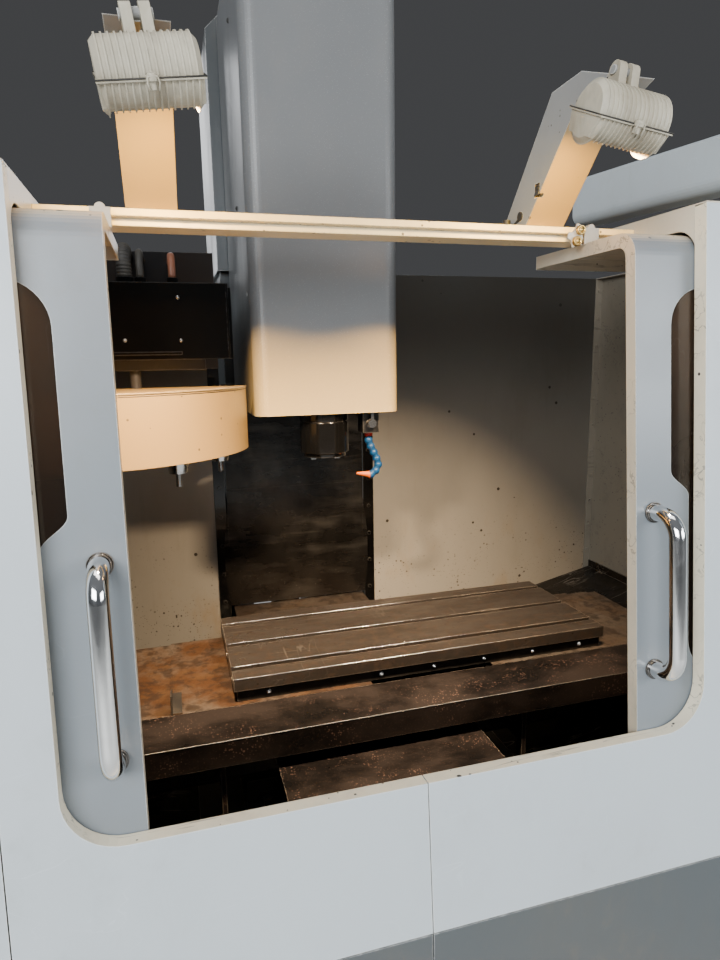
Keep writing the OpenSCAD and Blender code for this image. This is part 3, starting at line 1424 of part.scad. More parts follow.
// Air preparation unit on the outside of the back wall, with the threaded inlet
module air_panel() color("#5f666b") machine() {
    y = back_y + sheet;
    difference() {
        union() {
            span([-air_x - 100, -air_x + 100], [y, y + 4], [air_z - 200, air_z + 200]);
            span([-air_x - 80, -air_x - 20], [y + 4, y + 64], [air_z + 60, air_z + 120]);
            span([-air_x + 5, -air_x + 65], [y + 4, y + 64], [air_z + 60, air_z + 120]);
            span([-air_x - 20, -air_x + 5], [y + 20, y + 48], [air_z + 76, air_z + 104]);
            rod_z(26, [air_z - 40, air_z + 60], [-air_x - 50, y + 34]);
            rod_z(20, [air_z + 120, air_z + 156], [-air_x + 35, y + 34]);
            rod_y(20, [y + 64, y + 76], [-air_x - 50, air_z + 90]);
            span([-air_x - 60, -air_x + 60], [y + 4, y + 50], [air_z - 160, air_z - 90]);
        }
        rod_y(air_r, [y + 40, y + 77], [-air_x - 50, air_z + 90]);
    }
}

base_casting();
levelling_feet();
column_casting();
column_cover();
chip_pan();
front_panel_left();
front_panel_right();
kick_panels();
side_panels();
pocket_walls();
back_walls();
header_rail();
z_cover_frame();
guide_rails();
axis_motors();
electrical_cabinet();
coolant_tank();
lamp_arms();
changer_bracket();
air_panel();
saddle_casting();
front_apron();
saddle_covers();
table();
table_covers();
x_covers_mid();
y_cover_mid();
z_cover_mid();
x_ballscrew();
y_ballscrew();
z_ballscrew();
head_casting();
head_cover();
spindle_housing();
z_cover_head();
coolant_valve();
spindle();
valve_lever();
coolant_nozzle();
changer_shuttle();
changer_box();
carousel_cover();
carousel();
changer_tools();
left_door();
right_door();
left_window();
right_window();
left_handle();
right_handle();
lamp_head_left();
lamp_head_right();
lamp_switch();
pendant_arm();
pendant();
estop_button();
cycle_start_button();
jog_wheel();
cabinet_door();
pendant_post();
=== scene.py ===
import bpy
import bmesh
import math
import random
from mathutils import Matrix, Vector


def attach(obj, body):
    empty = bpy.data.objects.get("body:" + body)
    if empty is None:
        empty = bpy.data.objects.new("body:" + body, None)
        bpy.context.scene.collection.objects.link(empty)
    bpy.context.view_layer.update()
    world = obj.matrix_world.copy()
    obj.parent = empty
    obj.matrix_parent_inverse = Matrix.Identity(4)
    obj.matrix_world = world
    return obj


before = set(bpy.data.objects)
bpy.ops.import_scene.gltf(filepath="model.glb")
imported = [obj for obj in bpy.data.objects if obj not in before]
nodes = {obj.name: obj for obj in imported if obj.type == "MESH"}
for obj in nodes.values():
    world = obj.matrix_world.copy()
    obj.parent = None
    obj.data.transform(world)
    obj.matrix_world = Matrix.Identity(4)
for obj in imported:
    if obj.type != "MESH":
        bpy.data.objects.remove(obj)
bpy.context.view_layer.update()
print("frame loaded:", len(nodes), "nodes")

originShift = Vector((0.089, 0.857, 0.0))  # the machine's own middle, seen from the row frame's origin
lean = math.radians(5.4)                   # lean of the front
sillZ = 0.781
handleFace = 0.0319                        # front face of a door, square to the lean


# mm in the machine's own axes to metres in the row frame
def at(x, y, z):
    return Vector((x, y, z)) / 1000 - originShift


# camera, light and room
viewSettings = {
    "eye": (-387.6, -955.3, 1511.0), "yaw": 15.95, "pitch": -10.49, "roll": -0.97,
    "focalPixels": 653.9, "pixelsHigh": 960, "sensorHeight": 36, "near": 0.05, "far": 60,
}


def makeCamera(s):
    a, b, c = (math.radians(s[k]) for k in ("yaw", "pitch", "roll"))
    forward = Vector((math.sin(a) * math.cos(b), math.cos(a) * math.cos(b), math.sin(b)))
    level = Vector((math.cos(a), -math.sin(a), 0))
    above = level.cross(forward)
    right = math.cos(c) * level + math.sin(c) * above
    up = -math.sin(c) * level + math.cos(c) * above
    data = bpy.data.cameras.new("camera")
    data.sensor_fit = "VERTICAL"
    data.sensor_height = s["sensorHeight"]
    data.lens = s["focalPixels"] / s["pixelsHigh"] * s["sensorHeight"]
    data.clip_start = s["near"]
    data.clip_end = s["far"]
    camera = bpy.data.objects.new("camera", data)
    turn = Matrix((right, up, -forward)).transposed().to_4x4()
    camera.matrix_world = Matrix.Translation(at(*s["eye"])) @ turn
    bpy.context.scene.collection.objects.link(camera)
    bpy.context.scene.camera = camera


makeCamera(viewSettings)

lightSettings = {
    "panels": {
        "keyPanel": {"place": (-2300, -3300, 2700), "aim": (0, 100, 1000), "size": (3.0, 1.8), "power": 290,
                     "colour": (0.95, 0.98, 1.0), "misses": "sheltered"},
        "fillPanel": {"place": (2900, -2700, 2100), "aim": (300, 100, 900), "size": (2.4, 1.4), "power": 120,
                      "colour": (0.95, 0.98, 1.0), "misses": "sheltered"},
        "topPanel": {"place": (-300, -400, 4500), "aim": (0, 300, 1000), "size": (3.0, 0.9), "power": 34,
                     "colour": (1.0, 0.98, 0.95)},
        "backPanel": {"place": (600, 4300, 2900), "aim": (0, 900, 1100), "size": (2.8, 1.6), "power": 60,
                      "colour": (0.95, 0.97, 1.0)},
    },
    "sheltered": [
        "back_walls", "z_cover_frame", "z_cover_mid", "z_cover_head", "table", "table_covers", "x_covers_mid",
        "saddle_covers", "front_apron", "y_cover_mid", "chip_pan", "saddle_casting", "base_casting",
        "changer_box", "changer_shuttle", "changer_bracket", "carousel_cover", "carousel", "changer_tools",
        "spindle_housing", "spindle", "head_casting", "guide_rails", "x_ballscrew", "y_ballscrew",
        "coolant_valve", "coolant_nozzle", "valve_lever", "left_window", "right_window"],
    "beamMisses": [
        "left_door", "right_door", "left_window", "right_window", "front_panel_left", "front_panel_right",
        "side_panels", "changer_box", "y_cover_mid", "saddle_casting", "base_casting", "chip_pan"],
    "amber": ["head_cover"],
    "spillLit": ["lamp_arms", "header_rail", "carousel_cover", "lamp_switch"],
}


# lets a light reach the named nodes alone, or leave them out
def linkNodes(light, names, state):
    group = bpy.data.collections.new(light.name)
    for name in names:
        group.objects.link(nodes[name])
    for entry in group.collection_objects:
        entry.light_linking.link_state = state
    light.light_linking.receiver_collection = group


# a light's settings name the list of nodes that it misses or reaches
def areaLight(name, s, matrix):
    data = bpy.data.lights.new(name, "AREA")
    data.shape = "RECTANGLE"
    data.size, data.size_y = s["size"]
    data.energy = s["power"]
    data.color = s["colour"]
    data.spread = math.radians(s.get("spread", 180))
    light = bpy.data.objects.new(name, data)
    light.matrix_world = matrix
    bpy.context.scene.collection.objects.link(light)
    if "misses" in s:
        linkNodes(light, lightSettings[s["misses"]], "EXCLUDE")
    if "reaches" in s:
        linkNodes(light, lightSettings[s["reaches"]], "INCLUDE")


# the front panels leave the chamber to the work lamps and the room light
for name, panel in lightSettings["panels"].items():
    place = at(*panel["place"])
    turn = (at(*panel["aim"]) - place).to_track_quat("-Z", "Y").to_matrix().to_4x4()
    areaLight(name, panel, Matrix.Translation(place) @ turn)


# shader nodes
def addNode(tree, kind, links=None, **values):
    node = tree.nodes.new(kind)
    for key, value in values.items():
        setattr(node, key, value)
    for socket, source in (links or {}).items():
        target = node.inputs[socket]
        if isinstance(source, bpy.types.NodeSocket):
            tree.links.new(source, target)
        else:
            target.default_value = source
    return node


def mathNode(tree, operation, *sources, clamp=False):
    node = addNode(tree, "ShaderNodeMath", dict(enumerate(sources)), operation=operation, use_clamp=clamp)
    return node.outputs[0]


def times(tree, product, *factors):
    for factor in factors:
        product = mathNode(tree, "MULTIPLY", product, factor)
    return product


def plus(tree, a, b, clamp=False):
    return mathNode(tree, "ADD", a, b, clamp=clamp)


def larger(tree, a, b):
    return mathNode(tree, "MAXIMUM", a, b)


# 0 below low, 1 above high, smooth between
def rampNode(tree, factor, low, high):
    links = {"Value": factor, "From Min": low, "From Max": high}
    return addNode(tree, "ShaderNodeMapRange", links, interpolation_type="SMOOTHSTEP").outputs[0]


# a shade is a colour or the socket that gives one
def asShade(shade):
    return shade if isinstance(shade, bpy.types.NodeSocket) else (*shade, 1.0)


def mixColour(tree, factor, a, b):
    links = {0: factor, 6: asShade(a), 7: asShade(b)}
    return addNode(tree, "ShaderNodeMix", links, data_type="RGBA").outputs[2]


def coordinates(tree, kind="Object"):
    return addNode(tree, "ShaderNodeTexCoord").outputs[kind]


def axisOf(tree, vector, axis):
    return addNode(tree, "ShaderNodeSeparateXYZ", {0: vector}).outputs[axis]


def heightAbove(tree):
    return axisOf(tree, coordinates(tree), 2)


def noiseNode(tree, place, scale, detail, **more):
    links = {"Vector": place, "Scale": scale, "Detail": detail, **more}
    return addNode(tree, "ShaderNodeTexNoise", links).outputs[0]


def stretched(tree, factors):
    links = {0: coordinates(tree), 1: factors}
    return addNode(tree, "ShaderNodeVectorMath", links, operation="MULTIPLY").outputs[0]


# soft room light: bright above, darker round the horizon, so that bright metal has something to mirror;
# upper and lower are the heights between which one tone turns into the next
skySettings = {
    "backdrop": (0.20, 0.205, 0.215), "zenith": (0.60, 0.63, 0.68), "horizon": (0.30, 0.32, 0.35),
    "ground": (0.22, 0.215, 0.20), "strength": 0.30, "upper": (0.05, 0.75), "lower": (-0.25, 0.0),
}


def makeSky(s):
    world = bpy.data.worlds.new("sky")
    bpy.context.scene.world = world
    world.use_nodes = True
    tree = world.node_tree
    background = tree.nodes["Background"]
    background.inputs["Strength"].default_value = s["strength"]
    height = axisOf(tree, coordinates(tree, "Generated"), 2)
    above = mixColour(tree, rampNode(tree, height, *s["upper"]), s["horizon"], s["zenith"])
    room = mixColour(tree, rampNode(tree, height, *s["lower"]), s["ground"], above)
    seen = addNode(tree, "ShaderNodeLightPath").outputs["Is Camera Ray"]
    tree.links.new(mixColour(tree, seen, room, s["backdrop"]), background.inputs["Color"])


makeSky(skySettings)
print("camera, lights and room set")


# shared shader groups, one output each; an input of three values is a vector
def newGroup(name, output="Mask", **inputs):
    group = bpy.data.node_groups.new(name, "ShaderNodeTree")
    for socketName, value in inputs.items():
        kind = "NodeSocketVector" if isinstance(value, tuple) else "NodeSocketFloat"
        group.interface.new_socket(socketName, in_out="INPUT", socket_type=kind).default_value = value
    group.interface.new_socket(output, in_out="OUTPUT", socket_type="NodeSocketFloat")
    given = group.nodes.new("NodeGroupInput").outputs
    result = group.nodes.new("NodeGroupOutput").inputs[0]
    return group, given, result


# broken paint along edges
def makeEdgeWear():
    tree, given, result = newGroup("edgeWear", Radius=0.003, Break=60.0, Amount=0.5)
    sharpness, breaking = 6.0, 0.35
    bevel = addNode(tree, "ShaderNodeBevel", {"Radius": given["Radius"]}, samples=4)
    normal = addNode(tree, "ShaderNodeNewGeometry").outputs["Normal"]
    dot = addNode(tree, "ShaderNodeVectorMath", {0: bevel.outputs[0], 1: normal}, operation="DOT_PRODUCT")
    bent = mathNode(tree, "SUBTRACT", 1.0, dot.outputs["Value"])
    edge = mathNode(tree, "MULTIPLY", bent, sharpness, clamp=True)
    noise = noiseNode(tree, coordinates(tree), given["Break"], 5.0, Roughness=0.7)
    broken = rampNode(tree, plus(tree, noise, times(tree, edge, breaking)), 0.62, 0.78)
    near = times(tree, broken, rampNode(tree, edge, 0.02, 0.3))
    tree.links.new(mathNode(tree, "MULTIPLY", near, given["Amount"], clamp=True), result)
    return tree


def makeClouds():
    tree, given, result = newGroup("dirtClouds", Scale=3.0, Stretch=(1.0, 1.0, 1.0), Low=0.45, High=0.75)
    noise = noiseNode(tree, stretched(tree, given["Stretch"]), given["Scale"], 8.0, Roughness=0.62)
    tree.links.new(rampNode(tree, noise, given["Low"], given["High"]), result)
    return tree


# round dots, a share of the cells, each with a size of its own
def makeSpecks():
    tree, given, result = newGroup("specks", Scale=60.0, Size=0.16, Share=0.3)
    smallest = 0.35
    cells = addNode(tree, "ShaderNodeTexVoronoi", {"Vector": coordinates(tree), "Scale": given["Scale"]})
    pick = addNode(tree, "ShaderNodeSeparateColor", {0: cells.outputs["Color"]})
    chosen = mathNode(tree, "LESS_THAN", pick.outputs[0], given["Share"])
    size = times(tree, given["Size"], plus(tree, smallest, pick.outputs[1]))
    dot = mathNode(tree, "LESS_THAN", cells.outputs["Distance"], size)
    tree.links.new(times(tree, chosen, dot), result)
    return tree


# thin lines along the level curves of a stretched noise, gone where the gate is shut
def makeScratches():
    tree, given, result = newGroup("scratches", Scale=14.0, Along=(0.06, 1.0, 1.0), Width=0.012)
    wobble = noiseNode(tree, stretched(tree, given["Along"]), given["Scale"], 3.0, Distortion=0.4)
    line = mathNode(tree, "ABSOLUTE", mathNode(tree, "SUBTRACT", wobble, 0.5))
    thin = mathNode(tree, "LESS_THAN", line, given["Width"])
    gate = rampNode(tree, noiseNode(tree, coordinates(tree), 9.0, 4.0), 0.46, 0.66)
    tree.links.new(times(tree, thin, gate), result)
    return tree


# fine ripple of sprayed paint over shallow dents
def makePeel():
    tree, given, result = newGroup("orangePeel", output="Height", Scale=260.0, Dents=0.3)
    fine = noiseNode(tree, coordinates(tree), given["Scale"], 2.0)
    broad = noiseNode(tree, coordinates(tree), 5.0, 2.0)
    tree.links.new(plus(tree, fine, times(tree, broad, given["Dents"])), result)
    return tree


edgeWear = makeEdgeWear()
dirtClouds = makeClouds()
specks = makeSpecks()
scratches = makeScratches()
orangePeel = makePeel()


def useGroup(tree, group, **values):
    node = tree.nodes.new("ShaderNodeGroup")
    node.node_tree = group
    for key, value in values.items():
        node.inputs[key].default_value = value
    return node.outputs[0]


def cloudMask(tree, scale, low, high, stretch=(1.0, 1.0, 1.0)):
    return useGroup(tree, dirtClouds, Scale=scale, Stretch=stretch, Low=low, High=high)


def speckMask(tree, scale, size, share):
    return useGroup(tree, specks, Scale=scale, Size=size, Share=share)


def scratchMask(tree, scale, along, width):
    return useGroup(tree, scratches, Scale=scale, Along=along, Width=width)


def wornMask(tree, radius, grain, amount):
    return useGroup(tree, edgeWear, Radius=radius, Break=grain, Amount=amount)


# finishes by name; a material is called the same, with underscores
finishes = {}


def shaderOf(name):
    tree = finishes[name].node_tree
    return tree, tree.nodes["Principled BSDF"]


def newFinish(name, roughness, metallic=0.0, coat=0.0):
    finishes[name] = bpy.data.materials.new("".join("_" + c.lower() if c.isupper() else c for c in name))
    finishes[name].use_nodes = True
    tree, shader = shaderOf(name)
    shader.inputs["Metallic"].default_value = metallic
    shader.inputs["Roughness"].default_value = roughness
    shader.inputs["Coat Weight"].default_value = coat
    return tree, shader


# a colour laid over the shade where the mask is 1
def overlay(tree, shade, colour, mask, amount=None):
    strength = mask if amount is None else times(tree, mask, amount)
    return mixColour(tree, strength, shade, colour)


def setShade(tree, shader, shade):
    tree.links.new(shade, shader.inputs["Base Color"])


# roughness that grows from low by gain where the mask is 1
def setRoughness(tree, shader, low, mask, gain):
    tree.links.new(plus(tree, low, times(tree, mask, gain), clamp=True), shader.inputs["Roughness"])


# relief of the surface, over edges that look rounded
def setRelief(tree, shader, height, strength, distance, rounding):
    bevel = addNode(tree, "ShaderNodeBevel", {"Radius": rounding}, samples=4)
    links = {"Strength": strength, "Distance": distance, "Height": height, "Normal": bevel.outputs[0]}
    tree.links.new(addNode(tree, "ShaderNodeBump", links).outputs[0], shader.inputs["Normal"])


# the colour that a shader has so far, to be laid under something else
def skinOf(shader):
    return shader.inputs["Base Color"].links[0].from_socket


def scaled(colour, factor):
    return [c * factor for c in colour]


def paintedSheet(name, colour, roughness=0.38, dirt=0.35, dirtColour=(0.16, 0.13, 0.09), wear=0.6,
                 wearColour=(0.78, 0.77, 0.72), speckShare=0.0, speckColour=(0.05, 0.04, 0.03), peel=260.0,
                 rounding=0.0015, dirtScale=3.0, stretch=(1.0, 1.0, 0.5), scratchWidth=0.004, coat=0.0):
    tree, shader = newFinish(name, roughness, coat=coat)
    clouds = cloudMask(tree, scale=dirtScale, low=0.42, high=0.8, stretch=stretch)
    fine = cloudMask(tree, scale=dirtScale * 9, low=0.5, high=0.75, stretch=stretch)
    dulled = [c * 0.55 + d * 0.45 for c, d in zip(colour, dirtColour)]
    shade = overlay(tree, colour, dulled, clouds, amount=dirt)
    shade = overlay(tree, shade, dirtColour, times(tree, fine, clouds), amount=dirt)
    scuff = scratchMask(tree, scale=11.0, along=(0.4, 1.0, 0.7), width=scratchWidth)
    shade = overlay(tree, shade, [min(1, c * 1.25) for c in colour], scuff, amount=0.3 * wear)
    if speckShare:
        spots = speckMask(tree, scale=75.0, size=0.2, share=speckShare)
        shade = overlay(tree, shade, speckColour, spots, amount=0.85)
    shade = overlay(tree, shade, wearColour, wornMask(tree, radius=0.003, grain=70.0, amount=wear))
    setShade(tree, shader, shade)
    setRoughness(tree, shader, roughness - 0.06, clouds, gain=0.22)
    skin = useGroup(tree, orangePeel, Scale=peel, Dents=0.5)
    setRelief(tree, shader, skin, strength=0.12, distance=0.0006, rounding=rounding)


def oilySteel(name, base, stain, rough, metallic, wear=0.8):
    wearColour = (0.62, 0.57, 0.5)
    tree, shader = newFinish(name, rough[0], metallic=metallic)
    clouds = cloudMask(tree, scale=6.0, low=0.38, high=0.66)
    patches = cloudMask(tree, scale=42.0, low=0.46, high=0.62)
    shade = overlay(tree, base, stain, clouds)
    shade = overlay(tree, shade, scaled(base, 0.45), patches, amount=0.5)
    lines = scratchMask(tree, scale=16.0, along=(0.06, 1.0, 1.0), width=0.01)
    shade = overlay(tree, shade, wearColour, lines, amount=0.5)
    spots = speckMask(tree, scale=95.0, size=0.22, share=0.25)
    shade = overlay(tree, shade, scaled(stain, 1.9), spots, amount=0.6)
    shade = overlay(tree, shade, wearColour, wornMask(tree, radius=0.0025, grain=45.0, amount=wear))
    setShade(tree, shader, shade)
    setRoughness(tree, shader, rough[0], clouds, gain=rough[1] - rough[0])
    height = plus(tree, times(tree, patches, 0.6), times(tree, lines, -0.5))
    setRelief(tree, shader, height, strength=0.25, distance=0.0005, rounding=0.001)


def plainMetal(name, colour, roughness, brushed=0.0, along=(1.0, 1.0, 0.05), smudge=0.15):
    tree, shader = newFinish(name, roughness, metallic=1.0)
    clouds = cloudMask(tree, scale=12.0, low=0.45, high=0.7)
    setShade(tree, shader, overlay(tree, colour, scaled(colour, 0.5), clouds, amount=smudge))
    setRoughness(tree, shader, roughness, clouds, gain=smudge * 0.6)
    grain = cloudMask(tree, scale=420.0, low=0.3, high=0.7, stretch=along)
    setRelief(tree, shader, grain, strength=0.02 + brushed, distance=0.0002, rounding=0.0008)


def mouldedPlastic(name, colour, roughness=0.45, grain=500.0, dirt=0.3, dirtColour=(0.12, 0.10, 0.07),
                   stretch=(1.0, 1.0, 1.0), bump=0.15):
    tree, shader = newFinish(name, roughness)
    clouds = cloudMask(tree, scale=9.0, low=0.4, high=0.72, stretch=stretch)
    fine = cloudMask(tree, scale=60.0, low=0.42, high=0.7, stretch=stretch)
    shade = overlay(tree, colour, dirtColour, clouds, amount=dirt)
    shade = overlay(tree, shade, scaled(colour, 0.6), fine, amount=dirt * 0.6)
    paler = [min(1.0, c * 1.6 + 0.03) for c in colour]
    worn = wornMask(tree, radius=0.0015, grain=90.0, amount=0.25)
    setShade(tree, shader, overlay(tree, shade, paler, worn))
    setRoughness(tree, shader, roughness, clouds, gain=0.18)
    skin = useGroup(tree, orangePeel, Scale=grain, Dents=0.1)
    setRelief(tree, shader, skin, strength=bump, distance=0.0005, rounding=0.0008)


print("shader groups ready")


# 1 on faces that look out of the machine, 0 on flanges and inner faces
def outsideMask(tree):
    frontDepth, rearDepth = -0.70, 0.3
    place = addNode(tree, "ShaderNodeTexCoord")
    normal = addNode(tree, "ShaderNodeSeparateXYZ", {0: place.outputs["Normal"]}).outputs
    spot = addNode(tree, "ShaderNodeSeparateXYZ", {0: place.outputs["Object"]}).outputs
    front = times(tree, times(tree, normal[1], -1.0), mathNode(tree, "LESS_THAN", spot[1], frontDepth))
    side = times(tree, normal[0], mathNode(tree, "SIGN", spot[0]))
    rear = times(tree, normal[1], mathNode(tree, "GREATER_THAN", spot[1], rearDepth))
    return rampNode(tree, larger(tree, larger(tree, front, side), rear), 0.45, 0.85)


# powder coat outside, off-white and chipped on flanges and inside
def twoSidedSheet(name, outer, inner, **values):
    paintedSheet(name, outer, **values)
    tree, shader = shaderOf(name)
    clouds = cloudMask(tree, scale=14.0, low=0.48, high=0.8, stretch=(1.0, 1.0, 0.6))
    lip = overlay(tree, inner, scaled(inner, 0.6), clouds, amount=0.5)
    chips = larger(tree, speckMask(tree, scale=110.0, size=0.2, share=0.07),
                   speckMask(tree, scale=34.0, size=0.13, share=0.16))
    gouge = scratchMask(tree, scale=26.0, along=(0.1, 1.0, 1.0), width=0.012)
    lip = overlay(tree, lip, (0.07, 0.06, 0.05), larger(tree, chips, times(tree, gouge, 0.5)))
    setShade(tree, shader, mixColour(tree, outsideMask(tree), lip, skinOf(shader)))


# off-white back wall with a painted shadow darkening it towards its top, thick with dried splashes and chips
# low down
def wallSheet():
    # the colour under the key shade is the painted shadow along the top of the wall
    s = {"clean": (0.46, 0.445, 0.40), "film": (0.31, 0.285, 0.235), "run": (0.22, 0.175, 0.12),
         "stain": (0.42, 0.30, 0.17), "splash": (0.045, 0.036, 0.026), "shade": (0.040, 0.036, 0.030),
         "dirtHeight": (0.72, 1.02), "paintedShadowHeight": (1.05, 1.66)}
    tree, shader = newFinish("wallPaint", 0.42)
    height = heightAbove(tree)
    low = mathNode(tree, "SUBTRACT", 1.0, rampNode(tree, height, *s["dirtHeight"]))
    film = cloudMask(tree, scale=2.4, low=0.40, high=0.75, stretch=(1.0, 1.0, 0.6))
    runs = cloudMask(tree, scale=30.0, low=0.52, high=0.72, stretch=(1.0, 1.0, 0.06))
    shade = overlay(tree, s["clean"], s["film"], film, amount=0.5)
    shade = overlay(tree, shade, s["run"], times(tree, runs, film), amount=0.35)
    stain = cloudMask(tree, scale=10.0, low=0.5, high=0.74, stretch=(1.0, 1.0, 0.5))
    shade = overlay(tree, shade, s["stain"], times(tree, stain, low), amount=0.55)
    few = speckMask(tree, scale=30.0, size=0.13, share=0.10)
    small = times(tree, speckMask(tree, scale=75.0, size=0.18, share=0.42), low)
    tiny = times(tree, speckMask(tree, scale=170.0, size=0.22, share=0.30), low)
    patchy = cloudMask(tree, scale=8.0, low=0.38, high=0.60)
    spray = larger(tree, few, times(tree, larger(tree, small, tiny), patchy))
    shade = overlay(tree, shade, s["splash"], spray, amount=0.95)
    # painted shadow: the wall turns dark towards its top, where the header shades it
    shade = overlay(tree, shade, s["shade"], rampNode(tree, height, *s["paintedShadowHeight"]), amount=0.86)
    setShade(tree, shader, shade)
    setRoughness(tree, shader, 0.30, film, gain=0.25)
    relief = plus(tree, useGroup(tree, orangePeel, Scale=240.0, Dents=1.2), spray)
    setRelief(tree, shader, relief, strength=0.16, distance=0.0008, rounding=0.0015)


# bare sheet of the way covers, stained orange where coolant has dried
def rustedSheet(name, rustShare, steel):
    s = {"rust": (0.060, 0.024, 0.006), "dry": (0.085, 0.043, 0.016), "dark": (0.010, 0.007, 0.006)}
    tree, shader = newFinish(name, 0.6, metallic=0.3)
    broad = cloudMask(tree, scale=6.5, low=0.36, high=0.6)
    fine = cloudMask(tree, scale=40.0, low=0.45, high=0.6)
    pale = cloudMask(tree, scale=16.0, low=0.50, high=0.66)
    grit = speckMask(tree, scale=190.0, size=0.25, share=0.4)
    shade = overlay(tree, steel, s["rust"], broad, amount=rustShare)
    shade = overlay(tree, shade, s["dry"], pale, amount=0.75 * rustShare)
    shade = overlay(tree, shade, s["dark"], fine, amount=0.6)
    shade = overlay(tree, shade, s["dark"], grit, amount=0.5)
    setShade(tree, shader, shade)
    setRoughness(tree, shader, 0.36, broad, gain=0.35 * rustShare)
    relief = plus(tree, plus(tree, fine, pale), times(tree, grit, 0.5))
    setRelief(tree, shader, relief, strength=0.3, distance=0.0006, rounding=0.001)


# telescopic sheets behind the table: oiled dark steel, smeared across, brown towards the foot
def smearedSheet():
    s = {"oil": (0.030, 0.029, 0.028), "smear": (0.17, 0.165, 0.155), "brown": (0.030, 0.024, 0.020),
         "rubbed": (0.34, 0.31, 0.27), "footHeight": (0.62, 1.05)}
    tree, shader = newFinish("smearedSteel", 0.3, metallic=0.85)
    low = mathNode(tree, "SUBTRACT", 1.0, rampNode(tree, heightAbove(tree), *s["footHeight"]))
    broad = cloudMask(tree, scale=4.0, low=0.36, high=0.68, stretch=(1.0, 1.0, 0.5))
    smears = cloudMask(tree, scale=9.0, low=0.46, high=0.72, stretch=(0.45, 1.0, 1.7))
    shade = overlay(tree, s["oil"], s["smear"], broad, amount=0.6)
    shade = overlay(tree, shade, s["brown"], low, amount=0.7)
    shade = overlay(tree, shade, s["smear"], smears, amount=0.45)
    across = scratchMask(tree, scale=10.0, along=(0.05, 1.0, 1.0), width=0.004)
    shade = overlay(tree, shade, s["rubbed"], across, amount=0.25)
    spots = times(tree, speckMask(tree, scale=120.0, size=0.2, share=0.2), low)
    shade = overlay(tree, shade, s["rubbed"], spots, amount=0.7)
    shade = overlay(tree, shade, s["rubbed"], wornMask(tree, radius=0.002, grain=30.0, amount=0.7))
    setShade(tree, shader, shade)
    setRoughness(tree, shader, 0.26, smears, gain=0.26)
    relief = plus(tree, smears, times(tree, broad, 2.0))
    setRelief(tree, shader, relief, strength=0.10, distance=0.0012, rounding=0.001)


# front apron: nearly black, with clusters of reddish dried specks
def apronSheet():
    s = {"oil": (0.008, 0.0075, 0.0075), "brown": (0.024, 0.018, 0.016), "speck": (0.17, 0.105, 0.085),
         "rubbed": (0.42, 0.37, 0.31), "strayShare": 0.10}
    tree, shader = newFinish("apronSteel", 0.36, metallic=0.45)
    broad = cloudMask(tree, scale=7.0, low=0.36, high=0.62, stretch=(0.6, 1.0, 1.0))
    shade = overlay(tree, s["oil"], s["brown"], broad)
    clusters = cloudMask(tree, scale=13.0, low=0.48, high=0.64, stretch=(0.7, 1.0, 1.0))
    small = larger(tree, speckMask(tree, scale=150.0, size=0.26, share=0.5),
                   speckMask(tree, scale=260.0, size=0.3, share=0.5))
    spots = times(tree, small, plus(tree, s["strayShare"], clusters, clamp=True))
    shade = overlay(tree, shade, s["speck"], spots, amount=0.8)
    shade = overlay(tree, shade, s["rubbed"], wornMask(tree, radius=0.003, grain=25.0, amount=0.9))
    setShade(tree, shader, shade)
    setRoughness(tree, shader, 0.26, broad, gain=0.3)
    setRelief(tree, shader, plus(tree, small, broad), strength=0.2, distance=0.0005, rounding=0.001)


# ground top with worn pale slot edges and a dark oily film
def tableIron():
    s = {"iron": (0.120, 0.106, 0.096), "film": (0.054, 0.046, 0.040), "worn": (0.56, 0.50, 0.43),
         "rust": (0.125, 0.082, 0.055), "dot": (0.035, 0.03, 0.025)}
    tree, shader = newFinish("tableIron", 0.4, metallic=0.75)
    broad = cloudMask(tree, scale=5.0, low=0.38, high=0.66, stretch=(0.5, 1.0, 1.0))
    fine = cloudMask(tree, scale=45.0, low=0.46, high=0.64)
    shade = overlay(tree, s["iron"], s["film"], broad)
    shade = overlay(tree, shade, s["rust"], fine, amount=0.4)
    lines = scratchMask(tree, scale=15.0, along=(0.05, 1.0, 1.0), width=0.012)
    both = larger(tree, lines, scratchMask(tree, scale=18.0, along=(1.0, 0.1, 1.0), width=0.006))
    shade = overlay(tree, shade, s["worn"], both, amount=0.16)
    shade = overlay(tree, shade, s["dot"], speckMask(tree, scale=85.0, size=0.22, share=0.35), amount=0.6)
    shade = overlay(tree, shade, s["worn"], wornMask(tree, radius=0.0035, grain=14.0, amount=1.0))
    setShade(tree, shader, shade)
    setRoughness(tree, shader, 0.27, broad, gain=0.3)
    relief = mathNode(tree, "SUBTRACT", times(tree, fine, 0.5), both)
    setRelief(tree, shader, relief, strength=0.22, distance=0.0005, rounding=0.001)
